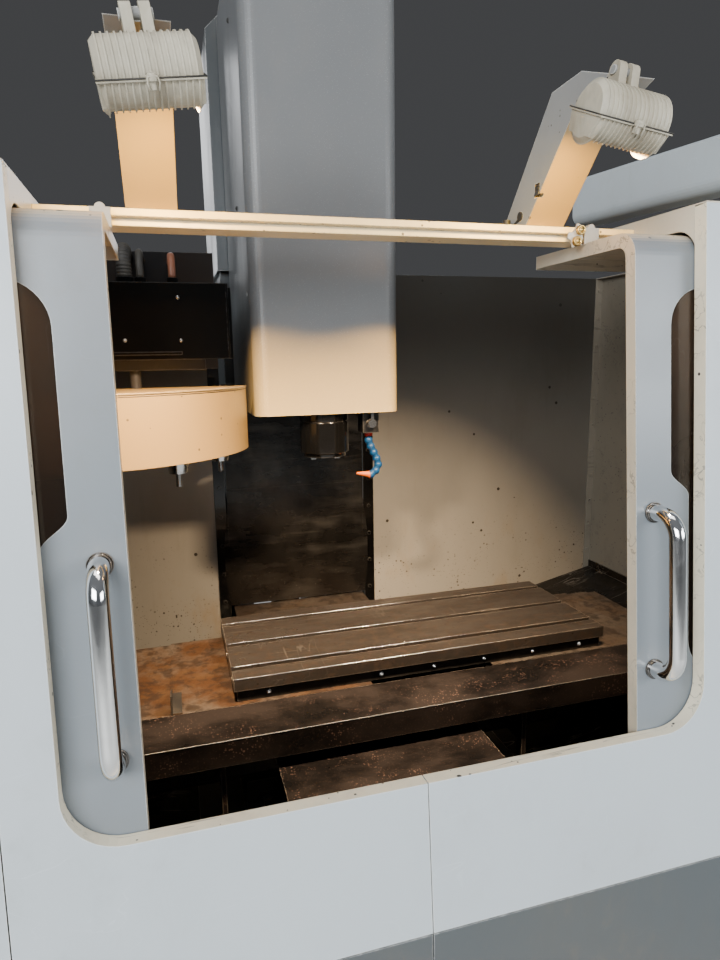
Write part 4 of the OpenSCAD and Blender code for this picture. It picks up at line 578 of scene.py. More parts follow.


# brown see-through pane, hazy from handling, with painted light making it lighter towards the top
def tintedPane():
    s = {"top": (0.20, 0.14, 0.10), "middle": (0.062, 0.042, 0.030), "low": (0.050, 0.034, 0.026),
         "haze": (0.11, 0.088, 0.07), "wipe": (0.26, 0.23, 0.20), "topZ": 1.62, "middleZ": 1.25, "lowZ": 0.95,
         "inputs": {"Specular IOR Level": 0.25, "Transmission Weight": 0.35, "IOR": 1.58}}
    tree, shader = newFinish("tintedPane", 0.22)
    for socket, value in s["inputs"].items():
        shader.inputs[socket].default_value = value
    height = heightAbove(tree)
    # painted light: the colour grows lighter from the low height to the top
    tintAndPaintedLight = mixColour(tree, rampNode(tree, height, s["lowZ"], s["middleZ"]), s["low"], s["middle"])
    tintAndPaintedLight = mixColour(tree, rampNode(tree, height, s["middleZ"], s["topZ"]), tintAndPaintedLight, s["top"])
    smear = cloudMask(tree, scale=7.0, low=0.45, high=0.75, stretch=(1.0, 1.0, 0.4))
    tintAndPaintedLight = overlay(tree, tintAndPaintedLight, s["haze"], smear, amount=0.35)
    wiped = scratchMask(tree, scale=20.0, along=(1.0, 1.0, 0.2), width=0.005)
    tintAndPaintedLight = overlay(tree, tintAndPaintedLight, s["wipe"], wiped, amount=0.2)
    setShade(tree, shader, tintAndPaintedLight)
    setRoughness(tree, shader, 0.10, smear, gain=0.18)
    waves = useGroup(tree, orangePeel, Scale=3.0, Dents=0.6)
    setRelief(tree, shader, waves, strength=0.04, distance=0.001, rounding=0.001)


# lit glass of the work lamps
def warmGlass():
    s = {"glow": (1.0, 0.47, 0.12), "surface": (0.9, 0.8, 0.6), "strength": 24.0}
    tree, shader = newFinish("warmLamp", 0.35)
    hot = cloudMask(tree, scale=20.0, low=0.3, high=0.8)
    glow = mixColour(tree, hot, s["glow"], scaled(s["glow"], 0.7))
    tree.links.new(glow, shader.inputs["Emission Color"])
    setShade(tree, shader, mixColour(tree, hot, s["surface"], scaled(s["surface"], 0.8)))
    shader.inputs["Emission Strength"].default_value = s["strength"]


# satin grey with painted glints: pale dots laid into its colour
def headPaint():
    paintedSheet("headPaint", (0.140, 0.145, 0.150), roughness=0.36, dirt=0.3, wear=0.5, peel=330.0,
                 dirtScale=2.2, dirtColour=(0.20, 0.18, 0.15), wearColour=(0.72, 0.70, 0.64))
    tree, shader = shaderOf("headPaint")
    # pale dots painted in as glints
    paintedGlint = speckMask(tree, scale=620.0, size=0.25, share=0.16)
    setShade(tree, shader, overlay(tree, skinOf(shader), (0.72, 0.74, 0.74), paintedGlint, amount=0.5))


# finishes
sheetLook = {"dirt": 0.22, "dirtScale": 2.4, "stretch": (1.0, 1.0, 0.7)}
housingGrey = (0.475, 0.525, 0.56)
twoSidedSheet("enclosurePaint", housingGrey, (0.84, 0.77, 0.60), roughness=0.4, wear=0.9,
              wearColour=(0.80, 0.80, 0.77), **sheetLook)
# side panels: the same grey outside, dark brown instead of off-white on their inner faces
twoSidedSheet("sidePaint", housingGrey, (0.20, 0.175, 0.135), roughness=0.42, wear=0.9,
              wearColour=(0.80, 0.80, 0.77), **sheetLook)
# doors: painted shade, the enclosure paint made darker outside and inside for the recessed doors
twoSidedSheet("doorPaint", (0.19, 0.215, 0.237), (0.60, 0.53, 0.41), roughness=0.36, wear=0.8,
              wearColour=(0.74, 0.74, 0.70), peel=180.0, **sheetLook)
paintedSheet("creamPaint", (0.70, 0.64, 0.52), roughness=0.4, dirt=0.4, wear=0.7,
             dirtColour=(0.30, 0.22, 0.12), wearColour=(0.24, 0.20, 0.15), dirtScale=5.0, speckShare=0.10)
# carousel cover, its rim and the lamp-facing arm plates: cream paint made tan, painted amber light of the
# work lamps
paintedSheet("coverPaint", (0.34, 0.225, 0.095), roughness=0.38, dirt=0.3, wear=0.7,
             dirtColour=(0.22, 0.13, 0.06), wearColour=(0.24, 0.20, 0.15), dirtScale=4.0, speckShare=0.06)
# header rail: cream paint made tan, painted amber light of the work lamps
paintedSheet("railPaint", (0.78, 0.65, 0.42), roughness=0.42, dirt=0.35, wear=0.9,
             dirtColour=(0.30, 0.20, 0.10), wearColour=(0.20, 0.16, 0.12), dirtScale=6.0, speckShare=0.12)
paintedSheet("kickPaint", (0.068, 0.080, 0.087), roughness=0.42, wear=0.9, wearColour=(0.62, 0.63, 0.62))
wallSheet()
paintedSheet("columnPaint", (0.048, 0.055, 0.060), roughness=0.34, dirt=0.3, wear=0.7,
             wearColour=(0.7, 0.7, 0.68))
headPaint()
paintedSheet("basePaint", (0.055, 0.06, 0.065), roughness=0.5, dirt=0.6, peel=90.0, speckShare=0.2,
             rounding=0.004, dirtScale=5.0)
paintedSheet("castingPaint", (0.028, 0.029, 0.030), roughness=0.45, dirt=0.7, wear=0.45, peel=80.0,
             speckShare=0.25, wearColour=(0.25, 0.24, 0.22), rounding=0.004, dirtScale=6.0)
paintedSheet("cabinetPaint", (0.43, 0.48, 0.51), roughness=0.42, dirt=0.25, wear=0.7)
paintedSheet("tankPaint", (0.29, 0.32, 0.345), roughness=0.46, dirt=0.6, wear=0.8, speckShare=0.15)
paintedSheet("bracketPaint", (0.185, 0.195, 0.195), roughness=0.62, dirt=0.45, peel=42.0, wear=0.5,
             speckShare=0.5, speckColour=(0.08, 0.08, 0.078))
paintedSheet("lampArmPaint", (0.255, 0.26, 0.257), roughness=0.4, dirt=0.3, wear=0.9, dirtScale=7.0,
             wearColour=(0.80, 0.79, 0.75), speckShare=0.04)
paintedSheet("pendantPaint", (0.44, 0.49, 0.52), roughness=0.42, dirt=0.22, wear=0.7)
oilySteel("panSteel", (0.022, 0.019, 0.017), (0.05, 0.04, 0.028), (0.25, 0.65), 0.35)
smearedSheet()
apronSheet()
rustedSheet("rustyCover", 1.0, (0.12, 0.095, 0.075))
rustedSheet("stainedCover", 0.35, (0.10, 0.088, 0.075))
oilySteel("bandBlack", (0.006, 0.006, 0.006), (0.018, 0.016, 0.014), (0.45, 0.75), 0.2, wear=0.4)
tableIron()
plainMetal("brightSteel", (0.62, 0.61, 0.59), 0.22, brushed=0.1, smudge=0.4)
# dull metal of the painted highlight along the apron's fold
plainMetal("rubbedEdge", (0.20, 0.19, 0.175), 0.5, brushed=0.2, smudge=0.5)
oilySteel("darkSteel", (0.06, 0.06, 0.06), (0.11, 0.10, 0.085), (0.3, 0.55), 0.85)
plainMetal("plateAluminium", (0.48, 0.485, 0.49), 0.34, brushed=0.12, along=(1.0, 0.05, 1.0), smudge=0.4)
paintedSheet("motorBlack", (0.025, 0.025, 0.028), roughness=0.42, dirt=0.3, wear=0.5,
             wearColour=(0.3, 0.3, 0.3))
paintedSheet("boxBlack", (0.004, 0.0045, 0.005), roughness=0.42, dirt=0.25, scratchWidth=0.008,
             wearColour=(0.20, 0.20, 0.20), dirtColour=(0.016, 0.017, 0.018), stretch=(1.6, 1.0, 0.6))
paintedSheet("housingBlack", (0.005, 0.005, 0.005), roughness=0.2, dirt=0.08, wear=0.4, coat=0.3,
             wearColour=(0.35, 0.33, 0.3), dirtColour=(0.05, 0.045, 0.04))
plainMetal("handleChrome", (0.80, 0.80, 0.80), 0.07, smudge=0.2)
tintedPane()
mouldedPlastic("lampPlastic", (0.46, 0.425, 0.335), roughness=0.5, dirt=0.65, grain=380.0,
               dirtColour=(0.15, 0.105, 0.055), stretch=(1.0, 1.0, 0.45))
mouldedPlastic("blackPlastic", (0.018, 0.018, 0.018), roughness=0.42, dirt=0.25)
mouldedPlastic("redPlastic", (0.50, 0.025, 0.018), roughness=0.3, dirt=0.12)
mouldedPlastic("bluePlastic", (0.008, 0.075, 0.22), roughness=0.35, dirt=0.3)
mouldedPlastic("orangePlastic", (0.80, 0.15, 0.005), roughness=0.35, dirt=0.25)
mouldedPlastic("greenPlastic", (0.03, 0.28, 0.07), roughness=0.3, dirt=0.12)
mouldedPlastic("blackRubber", (0.016, 0.015, 0.014), roughness=0.55, dirt=0.4)
mouldedPlastic("brownRubber", (0.20, 0.07, 0.035), roughness=0.45, dirt=0.4)
mouldedPlastic("tanWire", (0.45, 0.33, 0.19), roughness=0.5, dirt=0.4)
mouldedPlastic("greyPlastic", (0.33, 0.35, 0.36), roughness=0.45, dirt=0.25)
mouldedPlastic("keyWhite", (0.62, 0.62, 0.58), roughness=0.4, dirt=0.25)
plainMetal("brass", (0.65, 0.45, 0.16), 0.25, smudge=0.5)
warmGlass()
mouldedPlastic("screenBlue", (0.02, 0.05, 0.11), roughness=0.2, dirt=0.1, bump=0.02)
mattShine = 0.15
for finish in ("boxBlack", "bandBlack", "castingPaint"):
    shaderOf(finish)[1].inputs["Specular IOR Level"].default_value = mattShine

# finish of each node of the frame, by the node's name
nodeFinishes = {
    "enclosurePaint": ["front_panel_left", "front_panel_right"],
    "sidePaint": ["side_panels"],
    "doorPaint": ["left_door", "right_door"],
    "creamPaint": ["pocket_walls"],
    "railPaint": ["header_rail"],
    "coverPaint": ["carousel_cover"],
    "kickPaint": ["kick_panels"],
    "wallPaint": ["back_walls"],
    "columnPaint": ["column_cover", "column_casting", "air_panel"],
    "headPaint": ["head_cover"],
    "basePaint": ["base_casting"],
    "castingPaint": ["saddle_casting", "head_casting"],
    "cabinetPaint": ["electrical_cabinet", "cabinet_door"],
    "tankPaint": ["coolant_tank"],
    "bracketPaint": ["changer_bracket"],
    "lampArmPaint": ["lamp_arms"],
    "pendantPaint": ["pendant", "pendant_arm", "pendant_post"],
    "panSteel": ["chip_pan"],
    "smearedSteel": ["z_cover_frame", "z_cover_mid", "z_cover_head"],
    "apronSteel": ["front_apron"],
    "rustyCover": ["x_covers_mid", "table_covers"],
    "stainedCover": ["saddle_covers"],
    "bandBlack": ["y_cover_mid"],
    "tableIron": ["table"],
    "brightSteel": ["guide_rails", "x_ballscrew", "y_ballscrew", "z_ballscrew", "spindle", "changer_tools",
                    "valve_lever"],
    "darkSteel": ["levelling_feet", "coolant_valve"],
    "plateAluminium": ["carousel"],
    "motorBlack": ["axis_motors", "changer_shuttle"],
    "boxBlack": ["changer_box"],
    "housingBlack": ["spindle_housing"],
    "handleChrome": ["left_handle", "right_handle"],
    "tintedPane": ["left_window", "right_window"],
    "lampPlastic": ["lamp_head_left", "lamp_head_right"],
    "blackPlastic": ["lamp_switch", "jog_wheel"],
    "redPlastic": ["estop_button"],
    "bluePlastic": ["coolant_nozzle"],
    "greenPlastic": ["cycle_start_button"],
}
# nodes with rounded edges, by the width of the rounding in m
roundings = {
    0.0006: ["z_cover_frame"],
    0.0008: ["table"],
    0.0010: ["pocket_walls", "front_apron", "air_panel", "back_walls", "axis_motors", "spindle_housing"],
    0.0012: ["carousel_cover", "lamp_arms", "cabinet_door", "pendant"],
    0.0014: ["kick_panels", "header_rail"],
    0.0016: ["front_panel_left", "front_panel_right", "side_panels", "left_door", "right_door", "head_cover",
             "column_cover", "electrical_cabinet", "coolant_tank"],
    0.0020: ["changer_bracket", "pendant_arm", "pendant_post"],
    0.0030: ["saddle_casting", "column_casting", "head_casting"],
    0.0035: ["base_casting"],
}
bevelSettings = {"weldGap": 0.00002, "segments": 2, "sharpAngle": math.radians(38)}


def roundEdges(node, width, s):
    weld = node.modifiers.new("joinCorners", "WELD")
    weld.merge_threshold = s["weldGap"]
    bevel = node.modifiers.new("roundedEdges", "BEVEL")
    bevel.width = width
    bevel.segments = s["segments"]
    bevel.limit_method = "ANGLE"
    bevel.angle_limit = s["sharpAngle"]
    smooth = node.modifiers.new("evenShading", "WEIGHTED_NORMAL")
    smooth.keep_sharp = True


for finish, names in nodeFinishes.items():
    for name in names:
        nodes[name].data.materials.clear()
        nodes[name].data.materials.append(finishes[finish])
for width, names in roundings.items():
    for name in names:
        roundEdges(nodes[name], width, bevelSettings)
print("finishes on", sum(len(names) for names in nodeFinishes.values()), "nodes")


# gives the faces of a node whose middle and normal pass the test another finish
def paintFaces(name, finish, test):
    mesh = nodes[name].data
    mesh.materials.append(finishes[finish])
    index = len(mesh.materials) - 1
    for face in mesh.polygons:
        if test(face.center + originShift, face.normal):
            face.material_index = index


# second finishes on parts of CAD nodes; places in metres on the machine's own axes,
# those of the keys and the screen in mm on the pendant's
frameSides = {"inner": 0.198, "back": 1.1765, "foot": 0.5, "backFacing": 0.9}
frameLips = {"inner": 0.232, "back": 1.1899}
rightHalf = 0.05
bandTop = 0.8185
wiper = {"end": -0.404, "top": 0.7925}
armFace = {"facing": -0.3, "sideways": 0.3, "back": -0.02, "top": 1.93}
armRubber = {"ring": (0.315, 1.793), "ringRadius": 0.0105, "sleeveY": 0.344, "sleeveHalf": 0.009,
             "sleeve": (1.7725, 1.791)}
armWire = {"place": (0.344, 1.775), "half": 0.0036}
nozzleTip = {"right": 0.1175, "top": 1.2125}
valveFoot = 1.3185
footDepth = 0.005
pendantAxes = {"place": (1.1554, -0.1479, 1.890), "turn": -12.5}
keys = {"front": -55.4, "x": (-156, 135), "z": (-480, -280), "lowRow": (-480, -446)}
screen = {"y": (-51, -49), "x": (-146, 106), "z": (-262, -36)}


def frameSide(c, n):
    s = frameSides
    return abs(c.x) > s["inner"] and c.y < s["back"] and c.z > s["foot"] and n.y < s["backFacing"]


def frameLip(c, n):
    return abs(c.x) > frameLips["inner"] and c.y < frameLips["back"]


def nozzleEnd(c, n):
    return c.x < nozzleTip["right"] and c.z < nozzleTip["top"]


# the collars under the feet of a handle, seen square to the leaning front, painted black as painted shade
# where the handle meets the door
def handleFootPaintedShade(c, n):
    return c.y * math.cos(lean) - (c.z - sillZ) * math.sin(lean) > handleFace - footDepth


# faces of the lamp arms that face the lamps, which get the tan paint as painted lamp light
def litArmFace(c, n):
    s = armFace
    return n.y < s["facing"] and abs(n.x) < s["sideways"] and c.y > s["back"] and c.z < s["top"]


def armRing(c, n):
    s = armRubber
    return math.hypot(c.y - s["ring"][0], c.z - s["ring"][1]) < s["ringRadius"]


def armSleeve(c, n):
    s = armRubber
    return abs(c.y - s["sleeveY"]) < s["sleeveHalf"] and s["sleeve"][0] < c.z < s["sleeve"][1]


def armWireEnd(c, n):
    s = armWire
    return abs(c.y - s["place"][0]) < s["half"] and abs(c.z - s["place"][1]) < s["half"]


# a place in the pendant's own axes, mm
def pendantPlace(c):
    turn = Matrix.Rotation(math.radians(pendantAxes["turn"]), 3, "Z")
    return turn @ (c - Vector(pendantAxes["place"])) * 1000


def within(value, ends):
    return ends[0] < value < ends[1]


def pendantKey(c, rows):
    q = pendantPlace(c)
    return q.y < keys["front"] and within(q.x, keys["x"]) and within(q.z, keys[rows])


def screenFloor(c, n):
    q = pendantPlace(c)
    return within(q.y, screen["y"]) and within(q.x, screen["x"]) and within(q.z, screen["z"])


paintFaces("z_cover_frame", "motorBlack", frameSide)
paintFaces("z_cover_frame", "housingBlack", frameLip)
for name in ("x_covers_mid", "table_covers"):
    paintFaces(name, "stainedCover", lambda c, n: c.x > rightHalf)
paintFaces("table", "bandBlack", lambda c, n: c.z < bandTop)
paintFaces("table_covers", "blackRubber", lambda c, n: c.x < wiper["end"] and c.z > wiper["top"])
# painted shade: black collars at the feet of the handles
for name in ("left_handle", "right_handle"):
    paintFaces(name, "housingBlack", handleFootPaintedShade)
# painted lamp light: tan paint on the arm plates that face the lamps
paintFaces("lamp_arms", "coverPaint", litArmFace)
paintFaces("lamp_arms", "blackRubber", lambda c, n: armRing(c, n) or armSleeve(c, n))
paintFaces("lamp_arms", "tanWire", armWireEnd)
paintFaces("coolant_nozzle", "orangePlastic", nozzleEnd)
paintFaces("coolant_valve", "redPlastic", lambda c, n: c.z < valveFoot)
paintFaces("pendant", "keyWhite", lambda c, n: pendantKey(c, "z"))
paintFaces("pendant", "greyPlastic", lambda c, n: pendantKey(c, "lowRow"))
paintFaces("pendant", "screenBlue", screenFloor)
print("second finishes painted")


# shapes shared by the scene's own pieces
def meshOf(name, build):
    mesh = bpy.data.meshes.new(name)
    work = bmesh.new()
    build(work)
    bmesh.ops.recalc_face_normals(work, faces=work.faces)
    work.to_mesh(mesh)
    work.free()
    return mesh


def newPiece(name, build, body, finish, smooth=True):
    mesh = meshOf(name, build)
    piece = bpy.data.objects.new(name, mesh)
    bpy.context.scene.collection.objects.link(piece)
    mesh.materials.append(finishes[finish])
    if smooth:
        for face in mesh.polygons:
            face.use_smooth = True
    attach(piece, body)
    return piece


# tube round a list of points, its radius given by the distance along it
def sweepRing(work, points, radiusAt, sides=20):
    rings = []
    length = 0.0
    side = None
    for i, point in enumerate(points):
        ahead = (points[min(i + 1, len(points) - 1)] - points[max(i - 1, 0)]).normalized()
        if side is None:
            side = ahead.cross(Vector((0.3, 0.2, 1.0))).normalized()
        side = (side - ahead * side.dot(ahead)).normalized()
        across = ahead.cross(side)
        if i:
            length += (point - points[i - 1]).length
        r = radiusAt(length)
        ring = []
        for k in range(sides):
            turn = 2 * math.pi * k / sides
            ring.append(work.verts.new(point + r * (math.cos(turn) * side + math.sin(turn) * across)))
        rings.append(ring)
    for first, second in zip(rings, rings[1:]):
        for k in range(sides):
            work.faces.new((first[k], first[(k + 1) % sides], second[(k + 1) % sides], second[k]))
    work.faces.new(rings[0][::-1])
    work.faces.new(rings[-1])


# lathe: profile is (radius, height) pairs along the matrix's z axis
def turned(work, profile, place, sides=32):
    rings = []
    for radius, height in profile:
        if radius == 0:
            rings.append([work.verts.new(place @ Vector((0, 0, height)))])
            continue
        ring = []
        for k in range(sides):
            turn = 2 * math.pi * k / sides
            spot = Vector((radius * math.cos(turn), radius * math.sin(turn), height))
            ring.append(work.verts.new(place @ spot))
        rings.append(ring)
    for first, second in zip(rings, rings[1:]):
        for k in range(sides):
            a, b = first[k % len(first)], first[(k + 1) % len(first)]
            c, d = second[(k + 1) % len(second)], second[k % len(second)]
            corners = []
            for v in (a, b, c, d):
                if v not in corners:
                    corners.append(v)
            if len(corners) > 2:
                work.faces.new(corners)


# matrix that carries z onto direction, at place
def facing(place, direction, spin=0.0):
    turn = Vector(direction).to_track_quat("Z", "Y").to_matrix().to_4x4()
    return Matrix.Translation(place) @ turn @ Matrix.Rotation(spin, 4, "Z")


# button-head screws, each a dome with a hexagon socket
screwSettings = {"domeAngles": (0, 25, 50, 68), "rim": (0.42, 0.97), "socketFoot": (0.40, 0.35),
                 "socketFloor": 0.30}


def screwHeads(name, places, direction, body, finish, radius, height):
    s = screwSettings
    rim = (radius * s["rim"][0], height * s["rim"][1])
    dome = [(radius, 0.0)]
    for angle in s["domeAngles"]:
        a = math.radians(angle)
        dome.append((radius * math.cos(a), height * math.sin(a)))
    foot = (radius * s["socketFoot"][0], height * s["socketFoot"][1])
    socket = [rim, foot, (0.0, height * s["socketFloor"])]

    def build(work):
        for place in places:
            m = facing(place, direction, random.uniform(0, math.pi))
            turned(work, dome + [rim], m, 20)
            turned(work, socket, m, 6)
    newPiece(name, build, body, finish)


random.seed(7)


# work lamps
lampSettings = {
    "left": {"pivot": (-398, 20, 1951), "turn": (0, -8.3, 1.8), "body": "lamp_left"},
    "right": {"pivot": (339, 20, 1951), "turn": (0, 6.7, 2.0), "body": "lamp_right"},
    "hang": (0, -8, -73), "aim": 26, "length": 0.131, "radius": 0.045,
    "lensWidth": 0.050, "lensLength": 0.112, "lensDrop": 0.0225, "lensSteps": (48, 16), "lensBulge": 0.006,
    "ribHeight": 0.0012, "ribTurns": 40, "glass": 0.002,
    "gasketEnds": 0.0022, "gasketSides": 0.0042, "gasketLift": 0.0004, "gasketGap": 0.001,
    "gasketRadius": 0.0011,
    "screwProud": 0.006, "screwLift": 0.0035, "hookProud": 0.0125, "hookRadius": 0.0012,
    "screw": ((0.0062, 0.0), (0.0062, 0.0016), (0.0048, 0.0030), (0.0022, 0.0036), (0.0022, 0.0026),
              (0.0, 0.0026)),
    "hook": ((-0.006, -0.013), (-0.0075, -0.004), (-0.0055, 0.003), (0.0055, 0.003), (0.0075, -0.004),
             (0.006, -0.013)),
    "lights": {
        "beam": {"power": 12.0, "colour": (1.0, 0.72, 0.45), "size": (0.11, 0.05), "spread": 88,
                 "place": (0, 0, -0.036), "misses": "beamMisses"},
        "amber": {"power": 44.0, "colour": (1.0, 0.46, 0.02), "size": (0.11, 0.05), "spread": 88,
                  "place": (0, 0, -0.037), "reaches": "amber"},
        "spill": {"power": 5.5, "colour": (1.0, 0.62, 0.10), "size": (0.06, 0.04), "spread": 180,
                  "place": (0, 0.02, -0.042), "reaches": "spillLit"},
    },
}


def lampMatrix(s, side):
    ax, ay, az = (math.radians(v) for v in side["turn"])
    turn = Matrix.Rotation(az, 4, "Z") @ Matrix.Rotation(ay, 4, "Y") @ Matrix.Rotation(ax, 4, "X")
    hang = Matrix.Translation(Vector(s["hang"]) / 1000) @ Matrix.Rotation(math.radians(s["aim"]), 4, "X")
    return Matrix.Translation(at(*side["pivot"])) @ turn @ hang


# ribbed pressed-glass lens in the mouth of the lamp
def lampLens(s, name, m):
    along, across = s["lensSteps"]

    def lensPoint(u, v):
        bulge = s["lensBulge"] * (1 - u * u) * (1 - v * v) + s["ribHeight"] * math.cos(u * s["ribTurns"])
        return Vector((u * s["lensLength"] / 2, v * s["lensWidth"] / 2, -s["lensDrop"] - bulge))

    def build(work):
        grid = []
        for i in range(along + 1):
            row = []
            for j in range(across + 1):
                row.append(work.verts.new(m @ lensPoint(i / along * 2 - 1, j / across * 2 - 1)))
            grid.append(row)
        for i in range(along):
            for j in range(across):
                work.faces.new((grid[i][j], grid[i][j + 1], grid[i + 1][j + 1], grid[i + 1][j]))
    piece = newPiece("lamp_lens_" + name, build, s[name]["body"], "warmLamp")
    thick = piece.modifiers.new("glassThickness", "SOLIDIFY")
    thick.thickness = s["glass"]


# gasket in the parting line
def lampGasket(s, name, m):
    half = s["length"] / 2 + s["gasketEnds"]
    edge = s["radius"] + s["gasketSides"]
    corners = ((-half, 0.0), (-half, -edge), (half, -edge), (half, 0.0), (half, edge), (-half, edge),
               (-half, s["gasketGap"]))
    points = [m @ Vector((x, y, s["gasketLift"])) for x, y in corners]
    newPiece("lamp_gasket_" + name, lambda work: sweepRing(work, points, lambda d: s["gasketRadius"], 8),
             s[name]["body"], "blackRubber")


# screw and wire hook of the latch
def lampLatch(s, name, m):
    def build(work):
        top = m @ Matrix.Translation((0.0, -s["radius"] - s["screwProud"], s["screwLift"]))
        turned(work, s["screw"], top, 24)
        hook = [m @ Vector((x, -s["radius"] - s["hookProud"], z)) for x, z in s["hook"]]
        sweepRing(work, hook, lambda d: s["hookRadius"], 8)
    newPiece("lamp_latch_" + name, build, s[name]["body"], "lampPlastic")


for name in ("left", "right"):
    lamp = lampMatrix(lampSettings, lampSettings[name])
    lampLens(lampSettings, name, lamp)
    lampGasket(lampSettings, name, lamp)
    lampLatch(lampSettings, name, lamp)
    for kind, light in lampSettings["lights"].items():
        areaLight("lamp_" + kind + "_" + name, light, lamp @ Matrix.Translation(light["place"]))
print("lamps dressed")


# hoses of the tool changer, the first one corrugated
hoseSettings = {
    "startY": 620, "startZ": 1680, "fitting": 16.5, "bend": 40, "endY": 775, "step": 5.0, "stepsPerRib": 6,
    "sides": 24,
    "hoses": {
        "changer_hose_corrugated": {"x": -467, "rise": 38, "radius": 15.3, "finish": "blackRubber",
                                    "pitch": 7.0, "depth": 1.7},
        "changer_hose_dark": {"x": -434, "rise": 34, "radius": 8.3, "finish": "blackRubber"},
        "changer_hose_brown": {"x": -366, "rise": 28, "radius": 8.3, "finish": "brownRubber"},
    },
}


def changerHose(s, name, h):
    top = s["startZ"] + h["rise"]
    step = h["pitch"] / s["stepsPerRib"] if "pitch" in h else s["step"]
    route = []
    z = s["startZ"] + s["fitting"]
    while z < top:
        route.append((h["x"], s["startY"], z))
        z += step
    quarter = s["bend"] * math.pi / 2
    for k in range(int(quarter / step)):
        a = k * step / s["bend"]
        route.append((h["x"], s["startY"] + s["bend"] * (1 - math.cos(a)), top + s["bend"] * math.sin(a)))
    y = s["startY"] + s["bend"]
    while y < s["endY"] - 1:
        route.append((h["x"], y, top + s["bend"]))
        y += step
    points = [at(*p) for p in route]

    def radiusAt(d):
        if "pitch" not in h:
            return h["radius"] / 1000
        rib = 0.5 - 0.5 * math.cos(2 * math.pi * d * 1000 / h["pitch"])
        return (h["radius"] + h["depth"] * rib) / 1000

    def build(work):
        sweepRing(work, points, radiusAt, s["sides"])
    newPiece(name, build, "changer_carriage", h["finish"])


for name, hose in hoseSettings["hoses"].items():
    changerHose(hoseSettings, name, hose)
print("hoses dressed")


# fasteners: places in mm, radius and height of the heads in m
fastenerSettings = {
    "band": {"x": (-224, 33, 162, 290, 420, 550), "y": 365.0, "z": 804.5, "head": (0.0052, 0.0042)},
    "cover": {"x": 188.0, "y": 860, "z": (1440, 1900, 2340), "head": (0.0065, 0.0045)},
    "box": {"y": 562, "places": ((-358, 1649), (-356.5, 1557.5), (-473, 1558)), "head": (0.0042, 0.003)},
}


def tableScrews(s):
    places = [at(x, s["y"], s["z"]) for x in s["x"]]
    screwHeads("table_band_screws", places, (0, -1, 0), "table", "brightSteel", *s["head"])


def headScrews(s):
    for side, sign in (("left", -1), ("right", 1)):
        places = [at(sign * s["x"], s["y"], z) for z in s["z"]]
        screwHeads("head_cover_screws_" + side, places, (sign, 0, 0), "head", "blackPlastic", *s["head"])


def boxScrews(s):
    places = [at(x, s["y"], z) for x, z in s["places"]]
    screwHeads("changer_box_screws", places, (0, -1, 0), "changer_carriage", "brightSteel", *s["head"])


tableScrews(fastenerSettings["band"])
headScrews(fastenerSettings["cover"])


# folded rim along the top edge of the carousel cover, with a dark ring under it as the painted shadow of the
# seam
coverSettings = {
    "x": -570, "y": 739, "radius": 369.3, "top": 1453, "cut": 652, "steps": 96,
    "carousel_cover_rim": {"inset": 0.2, "drop": 1.6, "radius": 0.0019, "sides": 10, "finish": "coverPaint"},
    # painted shadow line of the seam under the rim
    "carousel_cover_seam_shadow": {"inset": 0.5, "drop": 7.0, "radius": 0.0009, "sides": 8, "finish": "blackRubber"},
}


def coverEdge(s, name):
    line = s[name]
    radius = s["radius"] - line["inset"]
    limit = math.asin((s["y"] - s["cut"]) / s["radius"])
    points = []
    for k in range(s["steps"] + 1):
        a = math.pi + limit + (math.pi - 2 * limit) * k / s["steps"]
        x, y = s["x"] + radius * math.cos(a), s["y"] + radius * math.sin(a)
        points.append(at(x, y, s["top"] - line["drop"]))
    newPiece(name, lambda work: sweepRing(work, points, lambda d: line["radius"], line["sides"]),
             "changer_carriage", line["finish"])


coverEdge(coverSettings, "carousel_cover_rim")
coverEdge(coverSettings, "carousel_cover_seam_shadow")


# pale lines on the slot lips and the table's front edge, rubbed bright and partly a painted highlight, and a
# painted highlight along the fold of the apron
wornAndHighlightLineSettings = {
    "table": {"lines": [(y, 844.9) for y in (419.0, 544.0, 669.0, 358.2)], "from": -298, "to": 320,
              "radius": 0.0010, "finish": "brightSteel"},
    # painted highlight along the fold of the apron
    "saddle": {"lines": [(237.2, 781.8)], "from": -760, "to": 700, "radius": 0.0012, "finish": "rubbedEdge"},
}
wornAndHighlightLineShape = {"steps": 60, "thinnest": 0.25, "ripple": 0.15, "ripples": 61}


def wornAndHighlightLines(body, s, shape):
    whole = (s["to"] - s["from"]) / 1000

    def radiusAt(d):
        taper = shape["thinnest"] + (1 - shape["thinnest"]) * (1 - (d / whole) ** 3)
        return s["radius"] * taper * (1 - shape["ripple"] + shape["ripple"] * math.sin(d * shape["ripples"]))

    def build(work):
        for y, z in s["lines"]:
            points = []
            for k in range(shape["steps"] + 1):
                points.append(at(s["from"] + (s["to"] - s["from"]) * k / shape["steps"], y, z))
            sweepRing(work, points, radiusAt, 8)
    newPiece(body + "_wear_and_painted_highlight_lines", build, body, s["finish"])


for body, settings in wornAndHighlightLineSettings.items():
    wornAndHighlightLines(body, settings, wornAndHighlightLineShape)


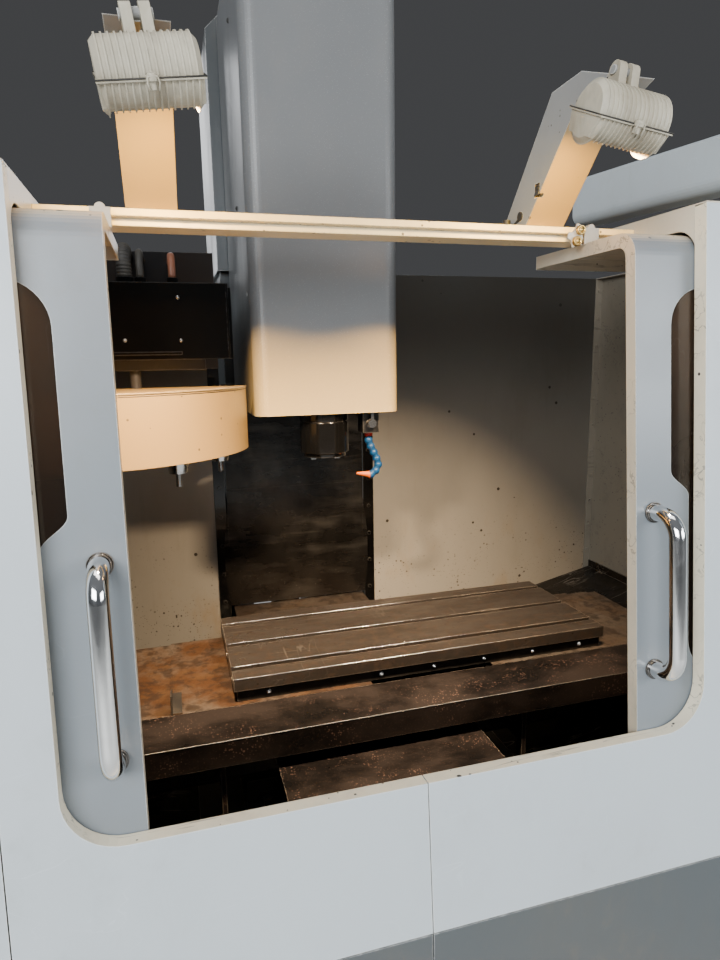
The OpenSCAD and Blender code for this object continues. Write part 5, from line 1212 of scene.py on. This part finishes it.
# bracket with two small rollers at the free end of the door hanger
rollerSettings = {
    "rollers": ((439, 1762), (431, 1740)), "y": 271, "radius": 0.0098, "width": 0.009, "pin": 0.0042,
    "edge": 0.0012, "groove": 0.001, "hub": (0.002, 0.0015),
    "plate": ((424, 1728), (446, 1734), (448, 1752), (446, 1772), (434, 1776), (428, 1764), (422, 1758),
              (414, 1758), (412, 1746), (420, 1742)),
    "plateY": (271.6, 274.4),
}


def rollerProfile(s):
    r, w, p, e = s["radius"], s["width"], s["pin"], s["edge"]
    tread = [(r, e), (r, w * 0.35), (r - s["groove"], w * 0.5), (r, w * 0.65), (r, w - e)]
    hub = [(p + s["hub"][0], w), (p + s["hub"][1], w - e), (p, w - e), (p, w + e), (0.0, w + e)]
    return [(p, 0.0), (r - e, 0.0), *tread, (r - e, w), *hub]


def doorRollers(s):
    def rollers(work):
        for x, z in s["rollers"]:
            turned(work, rollerProfile(s), facing(at(x, s["y"], z), (0, -1, 0)))

    def plate(work):
        front, back = ([work.verts.new(at(x, y, z)) for x, z in s["plate"]] for y in s["plateY"])
        work.faces.new(front)
        work.faces.new(back[::-1])
        for k in range(len(front)):
            j = (k + 1) % len(front)
            work.faces.new((front[k], back[k], back[j], front[j]))
    newPiece("door_rollers_right", rollers, "door_right", "brass")
    newPiece("door_bracket_right", plate, "door_right", "creamPaint", smooth=False)


doorRollers(rollerSettings)
boxScrews(fastenerSettings["box"])
print("fasteners and trim made")


# floor
floorSettings = {"half": 9.0, "colour": (0.62, 0.62, 0.60), "dusk": 0.94, "roughness": 0.7}


def makeFloor(s):
    h = s["half"]

    def build(work):
        work.faces.new([work.verts.new((x, y, 0)) for x, y in ((-h, -h), (h, -h), (h, h), (-h, h))])
    floor = bpy.data.objects.new("floor", meshOf("floor", build))
    tree, shader = newFinish("floorFinish", s["roughness"])
    clouds = cloudMask(tree, scale=1.5, low=0.3, high=0.8)
    setShade(tree, shader, overlay(tree, s["colour"], scaled(s["colour"], s["dusk"]), clouds))
    floor.data.materials.append(finishes["floorFinish"])
    bpy.context.scene.collection.objects.link(floor)


makeFloor(floorSettings)
bpy.context.view_layer.update()
